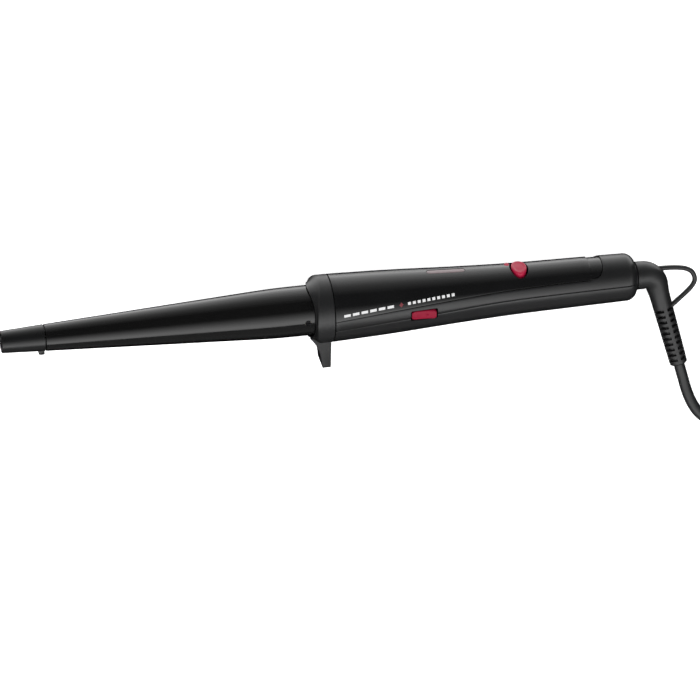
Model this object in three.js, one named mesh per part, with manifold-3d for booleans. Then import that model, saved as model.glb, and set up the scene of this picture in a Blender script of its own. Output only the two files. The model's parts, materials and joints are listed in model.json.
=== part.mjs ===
// A conical curling wand on a swivel cord, in millimetres.
//
// The wand is drawn along its own axis: X runs from the cool tip (-X) to the cord (+X), the fin that
// it stands on points to -Z, the power button and the indicator are on +Z, and the rocker switch
// faces -Y. x = 0 is the joint between the collar and the handle. Two nested groups then lay the
// wand on its side on the table (+Z up), where it rests on the collar, the fin and the handle's end.

import * as THREE from "three";
import { mergeVertices } from "three/addons/utils/BufferGeometryUtils.js";
import Module from "manifold-3d";

const wasm = await Module();
wasm.setup();

// ---------------------------------------------------------------- driving dimensions
const GAP = 0.3; // between neighbouring pieces
const SEGMENTS = 40; // round the handle and the barrel

const TIP_X = -164.2;
const TIP_R = 5.55;
const BARREL_FRONT_X = -142.4;
const BARREL_FRONT_R = 6.67;
const CONE_END_X = -28;
const BARREL_R = 12.5; // a 25 mm barrel
const BARREL_WALL = 1;
const BARREL_END_X = 9;

const COLLAR_R = 17;
const COLLAR_MOUTH_R = 13.3;
const SPIGOT_R = 14.2;
const SPIGOT_END_X = 8.7;
const FIN_WIDTH = 12;
const FIN_FOOT_Z = -31.5;
const FIN_CORNER = 1.2; // of its foot, seen along the wand
const COLLAR_LIP_X = -9.15;
const COLLAR_EDGE_X = -8.7; // outer edge of the collar's chamfer

const HANDLE_STATIONS_X = [0, 30, 60, 90, 120, 150];
const HANDLE_STATIONS_R = [17, 15.95, 14.35, 13.05, 12.45, 12];
const HANDLE_END_X = 155.4;
const HANDLE_CORNER = 5.3;
const HANDLE_WALL = 2.2;
const COVER_THICK = 1.3;
const COVER_END_X = 137.7;

const BUTTON_X = 95.6;
const BUTTON_ANGLE = THREE.MathUtils.degToRad(84); // round from the switch side (0) to the top (90)
const ROCKER_X = 44.95;
const ROCKER_Z = -0.4;
const ROCKER_PIVOT_Y = -12.2;
const ROCKER_TILT = THREE.MathUtils.degToRad(4);
const LENS_X = 58.7;
const SCREW_STATIONS_X = [25, 110];

const SPINDLE_R = 6;
const NECK_R = 7.1;
const NECK_END_X = 157;
const ELBOW_CORNER_X = 164; // where the wand's axis and the boot's axis cross
const BOOT_ANGLE = THREE.MathUtils.degToRad(76.5); // between the two axes
const BOOT_LENGTH = 52;
const BOOT_LEAN = THREE.MathUtils.degToRad(14.4); // of the elbow's plane, from -Z towards -Y
const BOOT_END_R = 4.3;

const CORD_R = 2.8;
const TIE_THICK = 0.75;
const HANK = {
  nearX: 209, // centre of its near fold
  farX: 261,
  y: -42.8,
  foldR: 22.4, // of the outer turns, a diameter wider than the inner ones
  layers: 4,
  bottom: 1.1,
};
const PLUG = { faceX: 201, y: 2.5, length: 35, halfWidth: 17.65, halfThick: 6.85, pinSpacing: 18.6, pinLength: 19 };
const PLUG_RELIEF_LENGTH = 24.4;

const PITCH = THREE.MathUtils.degToRad(1.92); // of the axis on the table
const ROLL = THREE.MathUtils.degToRad(-68); // puts the fin's corner on the table
// Where x = 0 of the wand's axis is, with the wand and its elbow centred over the origin.
const REST_PLACE = [-10.5, 17.13, 17.01];

// ---------------------------------------------------------------- solids
function solidOf(geometry) {
  const bare = geometry.clone();
  for (const name of Object.keys(bare.attributes)) if (name !== "position") bare.deleteAttribute(name);
  const merged = mergeVertices(bare, 1e-3);
  const vertProperties = merged.attributes.position.array;
  const triVerts = new Uint32Array(merged.index.array);
  const make = () => new wasm.Manifold(new wasm.Mesh({ numProp: 3, vertProperties, triVerts }));
  const solid = make();
  if (solid.volume() > 0) return solid;
  for (let i = 0; i < triVerts.length; i += 3) {
    [triVerts[i + 1], triVerts[i + 2]] = [triVerts[i + 2], triVerts[i + 1]];
  }
  return make();
}

// A turned piece about X: its profile is a list of [x, radius], closed on itself or on the axis.
function turned(profile, segments = SEGMENTS, shape = null) {
  const closed = [...profile, profile[0]];
  const onAxis = profile[0][1] === 0 && profile.at(-1)[1] === 0;
  const points = (onAxis ? profile : closed).map(([x, r]) => new THREE.Vector2(r, x));
  const geometry = new THREE.LatheGeometry(points, segments).rotateZ(-Math.PI / 2);
  if (shape) shape(geometry.attributes.position);
  return solidOf(geometry);
}

function block([x0, x1], [y0, y1], [z0, z1]) {
  const geometry = new THREE.BoxGeometry(x1 - x0, y1 - y0, z1 - z0);
  return solidOf(geometry.translate((x0 + x1) / 2, (y0 + y1) / 2, (z0 + z1) / 2));
}

function rod(from, to, radius, segments = 20, endRadius = radius) {
  const a = new THREE.Vector3(...from);
  const b = new THREE.Vector3(...to);
  const geometry = new THREE.CylinderGeometry(endRadius, radius, a.distanceTo(b), segments);
  const turn = new THREE.Quaternion().setFromUnitVectors(
    new THREE.Vector3(0, 1, 0),
    b.clone().sub(a).normalize(),
  );
  geometry.applyQuaternion(turn);
  const middle = a.add(b).multiplyScalar(0.5);
  return solidOf(geometry.translate(middle.x, middle.y, middle.z));
}

// An outline in X and Z, extruded from y0 to y1.
function plateXZ(shape, y0, y1) {
  const geometry = new THREE.ExtrudeGeometry(shape, { depth: y1 - y0, bevelEnabled: false });
  return solidOf(geometry.rotateX(Math.PI / 2).translate(0, y1, 0));
}

// An outline in X and Y, extruded from z0 to z1.
function plateXY(shape, z0, z1, curveSegments = 8) {
  const options = { depth: z1 - z0, bevelEnabled: false, curveSegments };
  return solidOf(new THREE.ExtrudeGeometry(shape, options).translate(0, 0, z0));
}

function outline(points) {
  return new THREE.Shape(points.map(([a, b]) => new THREE.Vector2(a, b)));
}

function slot(x, y, halfLength, radius) {
  const shape = new THREE.Shape();
  shape.absarc(x + halfLength - radius, y, radius, -Math.PI / 2, Math.PI / 2);
  shape.absarc(x - halfLength + radius, y, radius, Math.PI / 2, 1.5 * Math.PI);
  shape.closePath();
  return shape;
}

function ellipsePrism(halfX, halfY, z0, z1) {
  const shape = new THREE.Shape();
  shape.absellipse(0, 0, halfX, halfY, 0, 2 * Math.PI);
  return plateXY(shape, z0, z1, 24);
}

// A tapered tube along a curve: the rings of a cylinder, moved onto the curve one by one.
function tapered(curve, radiusAt, normal, steps, sides) {
  const geometry = new THREE.CylinderGeometry(1, 1, 1, sides, steps);
  const place = geometry.attributes.position;
  for (let i = 0; i < place.count; i++) {
    const t = place.getY(i) + 0.5;
    const along = curve.getTangentAt(t);
    const side = new THREE.Vector3().crossVectors(normal, along).normalize();
    const point = curve.getPointAt(t);
    const r = radiusAt(t);
    point.addScaledVector(side, place.getX(i) * r).addScaledVector(normal, place.getZ(i) * r);
    place.setXYZ(i, point.x, point.y, point.z);
  }
  return solidOf(geometry);
}

// A round tube of one thickness along a curve.
function tube(curve, radius, steps, sides = 8) {
  const section = new THREE.Shape();
  for (let i = 0; i < sides; i++) {
    const a = (2 * Math.PI * i) / sides;
    const step = [radius * Math.cos(a), radius * Math.sin(a)];
    if (i === 0) section.moveTo(...step);
    else section.lineTo(...step);
  }
  section.closePath();
  const options = { extrudePath: curve, steps, bevelEnabled: false };
  return solidOf(new THREE.ExtrudeGeometry(section, options));
}

// ---------------------------------------------------------------- surfaces that pieces share
const handleSpline = new THREE.CubicInterpolant(HANDLE_STATIONS_X, HANDLE_STATIONS_R, 1);
const handleRadius = (x) => handleSpline.evaluate(Math.min(x, HANDLE_STATIONS_X.at(-1)))[0];

// The handle's outer form, or one inset into it, from x0 to x1.
function handleForm(inset, x0 = 0.15, x1 = HANDLE_END_X - inset) {
  const cornerX = HANDLE_END_X - HANDLE_CORNER;
  const profile = [[x0, 0]];
  const stations = 10;
  const straightEnd = Math.min(x1, cornerX);
  for (let i = 0; i <= stations; i++) {
    const x = x0 + ((straightEnd - x0) * i) / stations;
    profile.push([x, handleRadius(x) - inset]);
  }
  if (x1 > cornerX) {
    const r = HANDLE_CORNER - inset;
    const centre = handleRadius(cornerX) - HANDLE_CORNER;
    for (let i = 1; i <= 5; i++) {
      const a = (i / 5) * (Math.PI / 2);
      profile.push([cornerX + r * Math.sin(a), centre + r * Math.cos(a)]);
    }
  }
  profile.push([Math.max(x1, profile.at(-1)[0]), 0]);
  return turned(profile);
}

const coneSlope = (BARREL_R - BARREL_FRONT_R) / (CONE_END_X - BARREL_FRONT_X);
const barrelRadius = (x) => BARREL_R + Math.min(0, x - CONE_END_X) * coneSlope;

// Seam between the shells, seen from the side: it climbs towards the cord.
const SEAM = [
  [0, -4],
  [28, -2.2],
  [55, -0.8],
  [77, 0.6],
  [100, 1.3],
  [160, 1.5],
];
// Lower edge of the glossy cover.
const COVER_EDGE = [
  [0, 1.5],
  [30, 3.7],
  [80, 6],
  [110, 6.6],
];

function above(line, shift, roof = 30) {
  const lifted = line.map(([x, z]) => [x, z + shift]);
  return outline([[lifted[0][0] - 5, lifted[0][1]], ...lifted, [160, lifted.at(-1)[1]], [160, roof], [-5, roof]]);
}

// The region that the cover fills, grown by a margin.
function coverRegion(margin) {
  const shape = new THREE.Shape();
  shape.moveTo(-5, COVER_EDGE[0][1] - margin);
  for (const [x, z] of COVER_EDGE) shape.lineTo(x, z - margin);
  const corner = 7;
  shape.lineTo(COVER_END_X + margin - corner, COVER_EDGE.at(-1)[1] - margin);
  shape.quadraticCurveTo(
    COVER_END_X + margin,
    COVER_EDGE.at(-1)[1] - margin,
    COVER_END_X + margin,
    COVER_EDGE.at(-1)[1] + corner,
  );
  shape.lineTo(COVER_END_X + margin, 30);
  shape.lineTo(-5, 30);
  return plateXZ(shape, -25, 25);
}

// A solid drawn about +Z is turned to stand on the handle at the button.
function atButton(solid) {
  const tilt = THREE.MathUtils.radToDeg(Math.PI / 2 - BUTTON_ANGLE);
  return solid.rotate([tilt, 0, 0]).translate([BUTTON_X, 0, 0]);
}

// ---------------------------------------------------------------- barrel and tip
function barrel() {
  const rear = BARREL_R - BARREL_WALL;
  const front = BARREL_FRONT_R - BARREL_WALL;
  const wall = turned([
    [BARREL_FRONT_X, BARREL_FRONT_R],
    [CONE_END_X, BARREL_R],
    [BARREL_END_X, BARREL_R],
    [BARREL_END_X, rear],
    [CONE_END_X, rear],
    [BARREL_FRONT_X, front],
  ]);
  return wall.subtract(rod([-13, -15, 0], [-13, -9, 0], 1.6, 16));
}

function coolTip() {
  const spigot = BARREL_FRONT_R - BARREL_WALL - GAP;
  const end = BARREL_FRONT_X - GAP;
  const plug = turned(
    [
      [TIP_X + 0.7, 0],
      [TIP_X + 0.7, 4.2],
      [TIP_X, 4.4],
      [TIP_X, TIP_R - 0.4],
      [TIP_X + 0.5, TIP_R],
      [end, BARREL_FRONT_R],
      [end, spigot],
      [end + 9, spigot + 0.3],
      [end + 9, 0],
    ],
    28,
  );
  const peg = outline([
    [end - 3, -6],
    [end - 3, -8.2],
    [end - 2.2, -9],
    [end - 0.6, -9],
    [end, -8.4],
    [end, -6],
  ]);
  return plug.add(plateXZ(peg, -1.6, 1.6));
}

function barrelBush() {
  const core = BARREL_R - BARREL_WALL - GAP;
  const bush = turned(
    [
      [-20, 6],
      [-20, core],
      [BARREL_END_X + GAP, core],
      [BARREL_END_X + GAP, SPIGOT_R],
      [12, SPIGOT_R],
      [12, 6],
    ],
    32,
  );
  return bush.subtract(rod([-13, -15, 0], [-13, -5, 0], 1.55, 16));
}

const barrelScrew = () => rod([-13, -12.7, 0], [-13, -7, 0], 1.25, 16);

function heaterBlock(side) {
  const inner = (x) => barrelRadius(x) - BARREL_WALL - GAP;
  const cone = turned([[-100, 0], [-100, inner(-100)], [-32, inner(-32)], [-32, 0]], 28);
  const half = side > 0 ? [2.3, 15] : [-15, -2.3];
  return cone.intersect(block([-101, -31], [-15, 15], half));
}

const ptcElement = () => block([-96, -36], [-4.6, 4.6], [-1.1, 1.1]);

function heaterInsulation() {
  const sleeve = block([-97, -35], [-5.6, 5.6], [-2, 2]);
  return sleeve.subtract(block([-98, -34], [-4.9, 4.9], [-1.4, 1.4]));
}

const thermistor = () => rod([-30, 0, 6.4], [-20.4, 0, 6.4], 1.3, 12);
const thermalFuse = () => rod([-31, 0, -6], [-20.4, 0, -6], 1.7, 12);
const lead = (y) => rod([-34.5, y, 0], [36, y, -0.4], 0.85, 8);

// ---------------------------------------------------------------- collar and fin
// The collar's mouth is a saddle: its lip reaches further forward on the top and the bottom, where its
// chamfer is longer too.
function saddle(place) {
  for (let i = 0; i < place.count; i++) {
    const [x, y, z] = [place.getX(i), place.getY(i), place.getZ(i)];
    const lift = (z * z) / Math.max(y * y + z * z, 1e-6);
    if (x < COLLAR_LIP_X + 0.1) place.setX(i, x - 1.9 * lift * lift);
    else if (x < COLLAR_EDGE_X + 1) place.setX(i, x + 2.8 * lift);
  }
}

function finOutline() {
  const shape = new THREE.Shape();
  shape.moveTo(-0.2, -14.9);
  shape.lineTo(-0.4, FIN_FOOT_Z + 0.4);
  shape.lineTo(-0.8, FIN_FOOT_Z);
  shape.lineTo(-4.2, FIN_FOOT_Z);
  shape.lineTo(-4.7, FIN_FOOT_Z + 0.6);
  shape.quadraticCurveTo(-5.2, -19.5, -10.6, -13.6);
  return shape;
}

// The fin seen along the wand: a bar with its two lower corners rounded.
function finSection() {
  const half = FIN_WIDTH / 2;
  const inset = half - FIN_CORNER;
  const centre = FIN_FOOT_Z + FIN_CORNER;
  let bar = block([-20, 5], [-half, half], [centre, 0]).add(block([-20, 5], [-inset, inset], [FIN_FOOT_Z, 0]));
  for (const y of [-inset, inset]) bar = bar.add(rod([-20, y, centre], [5, y, centre], FIN_CORNER, 24));
  return bar;
}

function standCollar() {
  const end = -0.15;
  const ring = turned(
    [
      [COLLAR_LIP_X, COLLAR_MOUTH_R + 0.25],
      [COLLAR_EDGE_X, COLLAR_R - 0.15],
      [COLLAR_EDGE_X + 0.7, COLLAR_R],
      [end, COLLAR_R],
      [end, SPIGOT_R],
      [SPIGOT_END_X, SPIGOT_R],
      [SPIGOT_END_X, BARREL_R + GAP],
      [-2, BARREL_R + GAP],
      [-2, COLLAR_MOUTH_R],
      [COLLAR_LIP_X, COLLAR_MOUTH_R],
    ],
    48,
    saddle,
  );
  const half = FIN_WIDTH / 2;
  return ring.add(plateXZ(finOutline(), -half, half).intersect(finSection()));
}

// ---------------------------------------------------------------- handle shells
function handleWalls() {
  const cavity = handleForm(HANDLE_WALL, SPIGOT_END_X, 151.8);
  const mouth = turned([[-1, 0], [-1, SPIGOT_R + GAP], [12.3, SPIGOT_R + GAP], [12.3, 0]]);
  const rib = turned([[12.3, 20], [14.3, 20], [14.3, 12.6], [12.3, 12.6]]);
  const hole = rod([150, 0, 0], [160, 0, 0], NECK_R + GAP, 32);
  return handleForm(0).subtract(cavity.subtract(rib)).subtract(mouth).subtract(hole);
}

function switchWindow() {
  return block([ROCKER_X - 6.75, ROCKER_X + 6.75], [-20, -10], [ROCKER_Z - 2.6, ROCKER_Z + 2.6]);
}

const buttonHole = (grow) => atButton(ellipsePrism(4.3 + grow, 6.4 + grow, 5, 20));
const lensHole = (grow) => plateXY(slot(LENS_X, 0, 9.65 + grow, 1.3 + grow), 9, 20);

function upperShell() {
  const half = plateXZ(above(SEAM, 0.15), -25, 25);
  const recess = coverRegion(GAP).subtract(handleForm(COVER_THICK + GAP));
  let shell = handleWalls().intersect(half).subtract(recess);
  for (const x of SCREW_STATIONS_X) {
    const top = handleRadius(x) - HANDLE_WALL + 0.4;
    shell = shell.add(rod([x, 0, 2.2], [x, 0, top], 3, 16));
    shell = shell.subtract(rod([x, 0, 2], [x, 0, 8], 1.1, 12));
  }
  return shell.subtract(switchWindow()).subtract(buttonHole(0.5)).subtract(lensHole(0.5));
}

function lowerShell() {
  const half = plateXZ(above(SEAM, -0.15), -25, 25);
  let shell = handleWalls().subtract(half);
  for (const x of [54, 90]) {
    const rib = block([x, x + 1.6], [-8, 8], [-14, 0.4]);
    shell = shell.add(rib.intersect(handleForm(1)).subtract(half));
  }
  for (const x of SCREW_STATIONS_X) {
    const bottom = handleRadius(x);
    shell = shell.add(rod([x, 0, 1 - bottom], [x, 0, -3.4], 3.4, 16));
    shell = shell.subtract(rod([x, 0, -20], [x, 0, -3], 1.55, 12));
    shell = shell.subtract(rod([x, 0, -20], [x, 0, 3 - bottom], 2.7, 16));
  }
  return shell.subtract(switchWindow());
}

function shellScrew(x) {
  const headTop = 2.7 - handleRadius(x);
  const head = rod([x, 0, headTop - 1.8], [x, 0, headTop], 2.3, 16);
  return head.add(rod([x, 0, headTop - 0.5], [x, 0, 2], 1.25, 10)).add(rod([x, 0, 1.9], [x, 0, 7], 0.8, 10));
}

function topCover() {
  const skin = handleForm(0).subtract(handleForm(COVER_THICK, -1, 170));
  return skin.intersect(coverRegion(0)).subtract(buttonHole(0.3)).subtract(lensHole(0.3));
}

// ---------------------------------------------------------------- controls
function powerButton() {
  const cap = ellipsePrism(4.3, 6.4, 6.9, 20).intersect(buttonCrown());
  return atButton(cap.add(rod([0, 0, 6.1], [0, 0, 7.4], 1.5, 12)));
}

// The button's top follows the handle 1.1 mm proud of it.
function buttonCrown() {
  return rod([-10, 0, 0], [10, 0, 0], handleRadius(BUTTON_X) + 1.1, 48);
}

const buttonSwitch = () => block([BUTTON_X - 3, BUTTON_X + 3], [-4, 2], [2.9, 4.9]);

// Drawn level, then tipped about its pivot so that its front end is pressed in.
function rockerKey() {
  const profile = new THREE.Shape();
  profile.moveTo(-6.15, -11.9);
  profile.lineTo(6.15, -11.9);
  profile.lineTo(6.15, -15.9);
  profile.quadraticCurveTo(0, -15.3, -6.15, -15.9);
  const key = plateXY(profile, ROCKER_Z - 2.25, ROCKER_Z + 2.25, 6);
  const tilt = THREE.MathUtils.radToDeg(ROCKER_TILT);
  return key
    .translate([0, -ROCKER_PIVOT_Y, 0])
    .rotate([0, 0, -tilt])
    .translate([ROCKER_X, ROCKER_PIVOT_Y, 0]);
}

const rockerHousing = () => block([ROCKER_X - 5.6, ROCKER_X + 5.6], [-10.6, -6], [-3.6, 0.6]);

function indicatorLens() {
  return plateXY(slot(LENS_X, 0, 9.65, 1.3), 10.4, 20).intersect(handleForm(0.05));
}

const indicatorLed = () => block([LENS_X - 2.5, LENS_X + 2.5], [-1.2, 1.2], [2.9, 6]);
const circuitBoard = () => block([32, 101], [-9, 9], [1, 2.6]);
const triac = () => block([72, 78], [-5, 5], [2.9, 7.5]);
const capacitor = () => block([80, 88], [-6, 6], [2.9, 8]);

// ---------------------------------------------------------------- swivel
function swivelHousing() {
  const bore = SPINDLE_R + GAP;
  const outer = 9.1;
  const groove = 8.1;
  return turned(
    [
      [141.5, bore],
      [141.5, outer],
      [151.5, outer],
      [151.5, bore],
      [147.3, bore],
      [147.3, groove],
      [144.7, groove],
      [144.7, bore],
    ],
    32,
  );
}

function swivelSpindle() {
  return turned(
    [
      [118, 1.6],
      [118, 3.6],
      [137, 3.6],
      [138, SPINDLE_R],
      [145, SPINDLE_R],
      [145, 7.8],
      [147, 7.8],
      [147, SPINDLE_R],
      [152.2, SPINDLE_R],
      [152.2, NECK_R],
      [NECK_END_X, NECK_R],
      [NECK_END_X, 2.9],
      [140, 2.9],
      [139, 1.6],
    ],
    32,
  );
}

function contactRing(x) {
  return turned([[x, 3.9], [x, 5.2], [x + 3, 5.2], [x + 3, 3.9]], 28);
}

// A springy strip from the board's end to its ring.
function brush(side, x) {
  const y = side * 4.2;
  const strip = block([101.4, x + 1.5], [y - 0.9, y + 0.9], [5.6, 6.1]);
  const post = block([101.4, 102.2], [y - 0.9, y + 0.9], [1.4, 5.8]);
  const shoe = block([x - 0.9, x + 1.5], [Math.min(y, -side), Math.max(y, -side)], [5.6, 6.8]);
  return strip.add(post).add(shoe);
}

// ---------------------------------------------------------------- elbow, boot and loop
// A point in the elbow's plane: x along the wand, and t away from its axis.
function inElbow(x, t) {
  return new THREE.Vector3(x, -t * Math.sin(BOOT_LEAN), -t * Math.cos(BOOT_LEAN));
}
const elbowNormal = new THREE.Vector3(0, Math.cos(BOOT_LEAN), -Math.sin(BOOT_LEAN));
const ELBOW_BEND_R = 7.4;

function bootPoint(distance) {
  return inElbow(
    ELBOW_CORNER_X + distance * Math.cos(BOOT_ANGLE),
    distance * Math.sin(BOOT_ANGLE),
  );
}

function elbowCurve() {
  const reach = ELBOW_BEND_R * Math.tan(BOOT_ANGLE / 2);
  const curve = new THREE.CurvePath();
  const start = inElbow(NECK_END_X + GAP, 0);
  const bendStart = inElbow(ELBOW_CORNER_X - reach, 0);
  if (bendStart.x > start.x) curve.add(new THREE.LineCurve3(start, bendStart));
  const bend = [];
  for (let i = 0; i <= 8; i++) {
    const a = (BOOT_ANGLE * i) / 8;
    const x = ELBOW_CORNER_X - reach + ELBOW_BEND_R * Math.sin(a);
    bend.push(inElbow(x, ELBOW_BEND_R * (1 - Math.cos(a))));
  }
  for (let i = 0; i < 8; i++) curve.add(new THREE.LineCurve3(bend[i], bend[i + 1]));
  curve.add(new THREE.LineCurve3(bend[8], bootPoint(BOOT_LENGTH)));
  return curve;
}

// The elbow narrows from the neck to the boot, and the boot goes on narrowing to the cord.
function elbowRadius(grow) {
  return (t) => {
    const neck = THREE.MathUtils.smoothstep(t, 0, 0.26);
    return NECK_R + (4.95 - NECK_R) * neck + (BOOT_END_R - 4.95) * t + grow;
  };
}

const strainRelief = () => tapered(elbowCurve(), elbowRadius(0), elbowNormal, 22, 20);

const LOOP_ROUTE = [
  [163, -2.6],
  [168, -2.2],
  [174, -1.1],
  [180, 0.4],
  [183.6, 3],
  [184.4, 6.4],
  [183, 9.8],
  [180, 12.7],
  [176.4, 15.6],
  [172, 18.8],
  [169, 21],
];

function hangingLoop() {
  const curve = new THREE.CatmullRomCurve3(LOOP_ROUTE.map(([x, t]) => inElbow(x, t)));
  const whole = tube(curve, 1.1, 22, 8);
  const keepOut = tapered(elbowCurve(), elbowRadius(GAP), elbowNormal, 22, 20);
  const parts = whole.subtract(keepOut).decompose();
  return parts.reduce((a, b) => (a.volume() > b.volume() ? a : b));
}

// ---------------------------------------------------------------- cord, in the table's frame
// From the boot's end, along the table, to the hank.
const CORD_ROUTE = [
  [165.4, -33.3, 4.4],
  [167, -40, 3.6],
  [168.6, -46.8, 3.1],
  [171.1, -53.2, 2.9],
  [174.9, -58.2, 2.85],
  [179.9, -62, 2.95],
  [185.7, -64.4, 3.35],
  [192.6, -65.2, 3.9],
];
// From the hank's far end, down onto the table and back to the plug.
const TAIL_ROUTE = [
  [287.9, -52, 16.6],
  [290.3, -48.3, 15.1],
  [294.3, -37.2, 11],
  [294.3, -25.5, 7.2],
  [290.3, -14.4, 4.6],
  [282.8, -5.4, 3.4],
  [272.6, 0.5, 4.2],
  [261.3, 2.5, 6.9],
];

function cordAlong(route) {
  const curve = new THREE.CatmullRomCurve3(route.map((place) => new THREE.Vector3(...place)));
  return tube(curve, CORD_R, Math.round(curve.getLength() / (5 * CORD_R)) + 4, 8);
}

function foldedOutline(radius) {
  const shape = new THREE.Shape();
  shape.absarc(HANK.farX, HANK.y, radius, -Math.PI / 2, Math.PI / 2);
  shape.absarc(HANK.nearX, HANK.y, radius, Math.PI / 2, 1.5 * Math.PI);
  shape.closePath();
  return shape;
}

const hankTop = HANK.bottom + HANK.layers * 2 * CORD_R + 0.1;

function cordHank() {
  const shape = foldedOutline(HANK.foldR + CORD_R);
  shape.holes.push(foldedOutline(HANK.foldR - 3 * CORD_R));
  return plateXY(shape, HANK.bottom, hankTop, 10);
}

function cordTie() {
  const x = (HANK.nearX + HANK.farX) / 2;
  const halfInner = HANK.foldR + CORD_R + GAP;
  const inner = block([x - 4, x + 4], [HANK.y - halfInner, HANK.y + halfInner], [HANK.bottom - GAP, hankTop + GAP]);
  const half = halfInner + TIE_THICK;
  const bottom = HANK.bottom - GAP - TIE_THICK;
  const outer = block([x - 2.5, x + 2.5], [HANK.y - half, HANK.y + half], [bottom, hankTop + GAP + TIE_THICK]);
  return outer.subtract(inner);
}

// ---------------------------------------------------------------- plug: two round pins, flat body
const plugZ = PLUG.halfThick + 0.05;
const plugBack = PLUG.faceX + PLUG.length;

function plugBody() {
  const half = PLUG.halfWidth;
  const shape = new THREE.Shape();
  shape.moveTo(PLUG.faceX, PLUG.y - half);
  shape.lineTo(PLUG.faceX + 6, PLUG.y - half);
  shape.quadraticCurveTo(PLUG.faceX + 14, PLUG.y - 8.5, plugBack, PLUG.y - 6.6);
  shape.lineTo(plugBack, PLUG.y + 6.6);
  shape.quadraticCurveTo(PLUG.faceX + 14, PLUG.y + 8.5, PLUG.faceX + 6, PLUG.y + half);
  shape.lineTo(PLUG.faceX, PLUG.y + half);
  let body = plateXY(shape, plugZ - PLUG.halfThick, plugZ + PLUG.halfThick, 8);
  for (const side of [-1, 1]) {
    const y = PLUG.y + (side * PLUG.pinSpacing) / 2;
    body = body.subtract(rod([PLUG.faceX - 1, y, plugZ], [PLUG.faceX + 5, y, plugZ], 2 + GAP, 16));
  }
  return body;
}

function plugPin(side) {
  const y = PLUG.y + (side * PLUG.pinSpacing) / 2;
  const tip = PLUG.faceX - PLUG.pinLength;
  const core = rod([tip + 8, y, plugZ], [PLUG.faceX + 4.5, y, plugZ], 1.2, 12);
  const end = rod([tip + 9, y, plugZ], [tip + 1.2, y, plugZ], 1.95, 16);
  return core.add(end).add(rod([tip + 1.3, y, plugZ], [tip, y, plugZ], 1.95, 16, 1));
}

function plugSleeve(side) {
  const y = PLUG.y + (side * PLUG.pinSpacing) / 2;
  const start = PLUG.faceX - PLUG.pinLength + 9 + GAP;
  const end = PLUG.faceX + 4.4;
  const outer = rod([start, y, plugZ], [end, y, plugZ], 1.95, 16);
  return outer.subtract(rod([start - 1, y, plugZ], [end + 1, y, plugZ], 1.5, 12));
}

function plugRelief() {
  const from = [plugBack + PLUG_RELIEF_LENGTH, PLUG.y, plugZ];
  return rod(from, [plugBack + GAP, PLUG.y, plugZ], 3.7, 20, 5.6);
}

// ---------------------------------------------------------------- finishes
const finish = (color, roughness, metalness = 0) =>
  new THREE.MeshStandardMaterial({ color, roughness, metalness });
const ceramic = finish(0x101012, 0.22, 0.2);
const satinBlack = finish(0x17181a, 0.45);
const mattBlack = finish(0x1c1d1f, 0.7);
const glossBlack = finish(0x0c0d10, 0.15);
const rubber = finish(0x202123, 0.8);
const red = finish(0xa01832, 0.35);
const lensRed = finish(0x4a2a30, 0.3);
const aluminium = finish(0xb4b6b8, 0.4, 0.9);
const steel = finish(0x8f9296, 0.35, 1);
const brass = finish(0xc2a25a, 0.35, 1);
const nylon = finish(0xd9d4c4, 0.6);
const boardGreen = finish(0x1f5a36, 0.6);

function mesh(name, solid, material) {
  const data = solid.getMesh();
  const geometry = new THREE.BufferGeometry();
  geometry.setAttribute("position", new THREE.BufferAttribute(data.vertProperties, 3));
  geometry.setIndex(new THREE.BufferAttribute(data.triVerts, 1));
  const flat = geometry.toNonIndexed();
  flat.computeVertexNormals();
  const made = new THREE.Mesh(flat, material);
  made.name = name;
  return made;
}

// ---------------------------------------------------------------- the wand
const wand = new THREE.Group();
wand.rotation.x = ROLL;
wand.add(
  mesh("cool_tip", coolTip(), satinBlack),
  mesh("barrel", barrel(), ceramic),
  mesh("barrel_bush", barrelBush(), nylon),
  mesh("barrel_screw", barrelScrew(), steel),
  mesh("heater_block_upper", heaterBlock(1), aluminium),
  mesh("heater_block_lower", heaterBlock(-1), aluminium),
  mesh("ptc_element", ptcElement(), nylon),
  mesh("heater_insulation", heaterInsulation(), brass),
  mesh("thermistor", thermistor(), nylon),
  mesh("thermal_fuse", thermalFuse(), steel),
  mesh("lead_live", lead(4.6), nylon),
  mesh("lead_neutral", lead(-4.6), nylon),
  mesh("stand_collar", standCollar(), mattBlack),
  mesh("upper_shell", upperShell(), satinBlack),
  mesh("lower_shell", lowerShell(), satinBlack),
  mesh("top_cover", topCover(), glossBlack),
  mesh("shell_screw_front", shellScrew(SCREW_STATIONS_X[0]), steel),
  mesh("shell_screw_rear", shellScrew(SCREW_STATIONS_X[1]), steel),
  mesh("power_button", powerButton(), red),
  mesh("button_switch", buttonSwitch(), mattBlack),
  mesh("rocker_key", rockerKey(), red),
  mesh("rocker_housing", rockerHousing(), mattBlack),
  mesh("indicator_lens", indicatorLens(), lensRed),
  mesh("indicator_led", indicatorLed(), nylon),
  mesh("circuit_board", circuitBoard(), boardGreen),
  mesh("triac", triac(), mattBlack),
  mesh("capacitor", capacitor(), boardGreen),
  mesh("swivel_housing", swivelHousing(), nylon),
  mesh("brush_live", brush(1, 122), brass),
  mesh("brush_neutral", brush(-1, 129), brass),
  mesh("swivel_spindle", swivelSpindle(), mattBlack),
  mesh("contact_ring_live", contactRing(121.5), brass),
  mesh("contact_ring_neutral", contactRing(128.5), brass),
  mesh("strain_relief", strainRelief(), rubber),
  mesh("hanging_loop", hangingLoop(), rubber),
);

const onTable = new THREE.Group();
onTable.rotation.y = PITCH;
onTable.position.set(...REST_PLACE);
onTable.add(wand);

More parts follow.
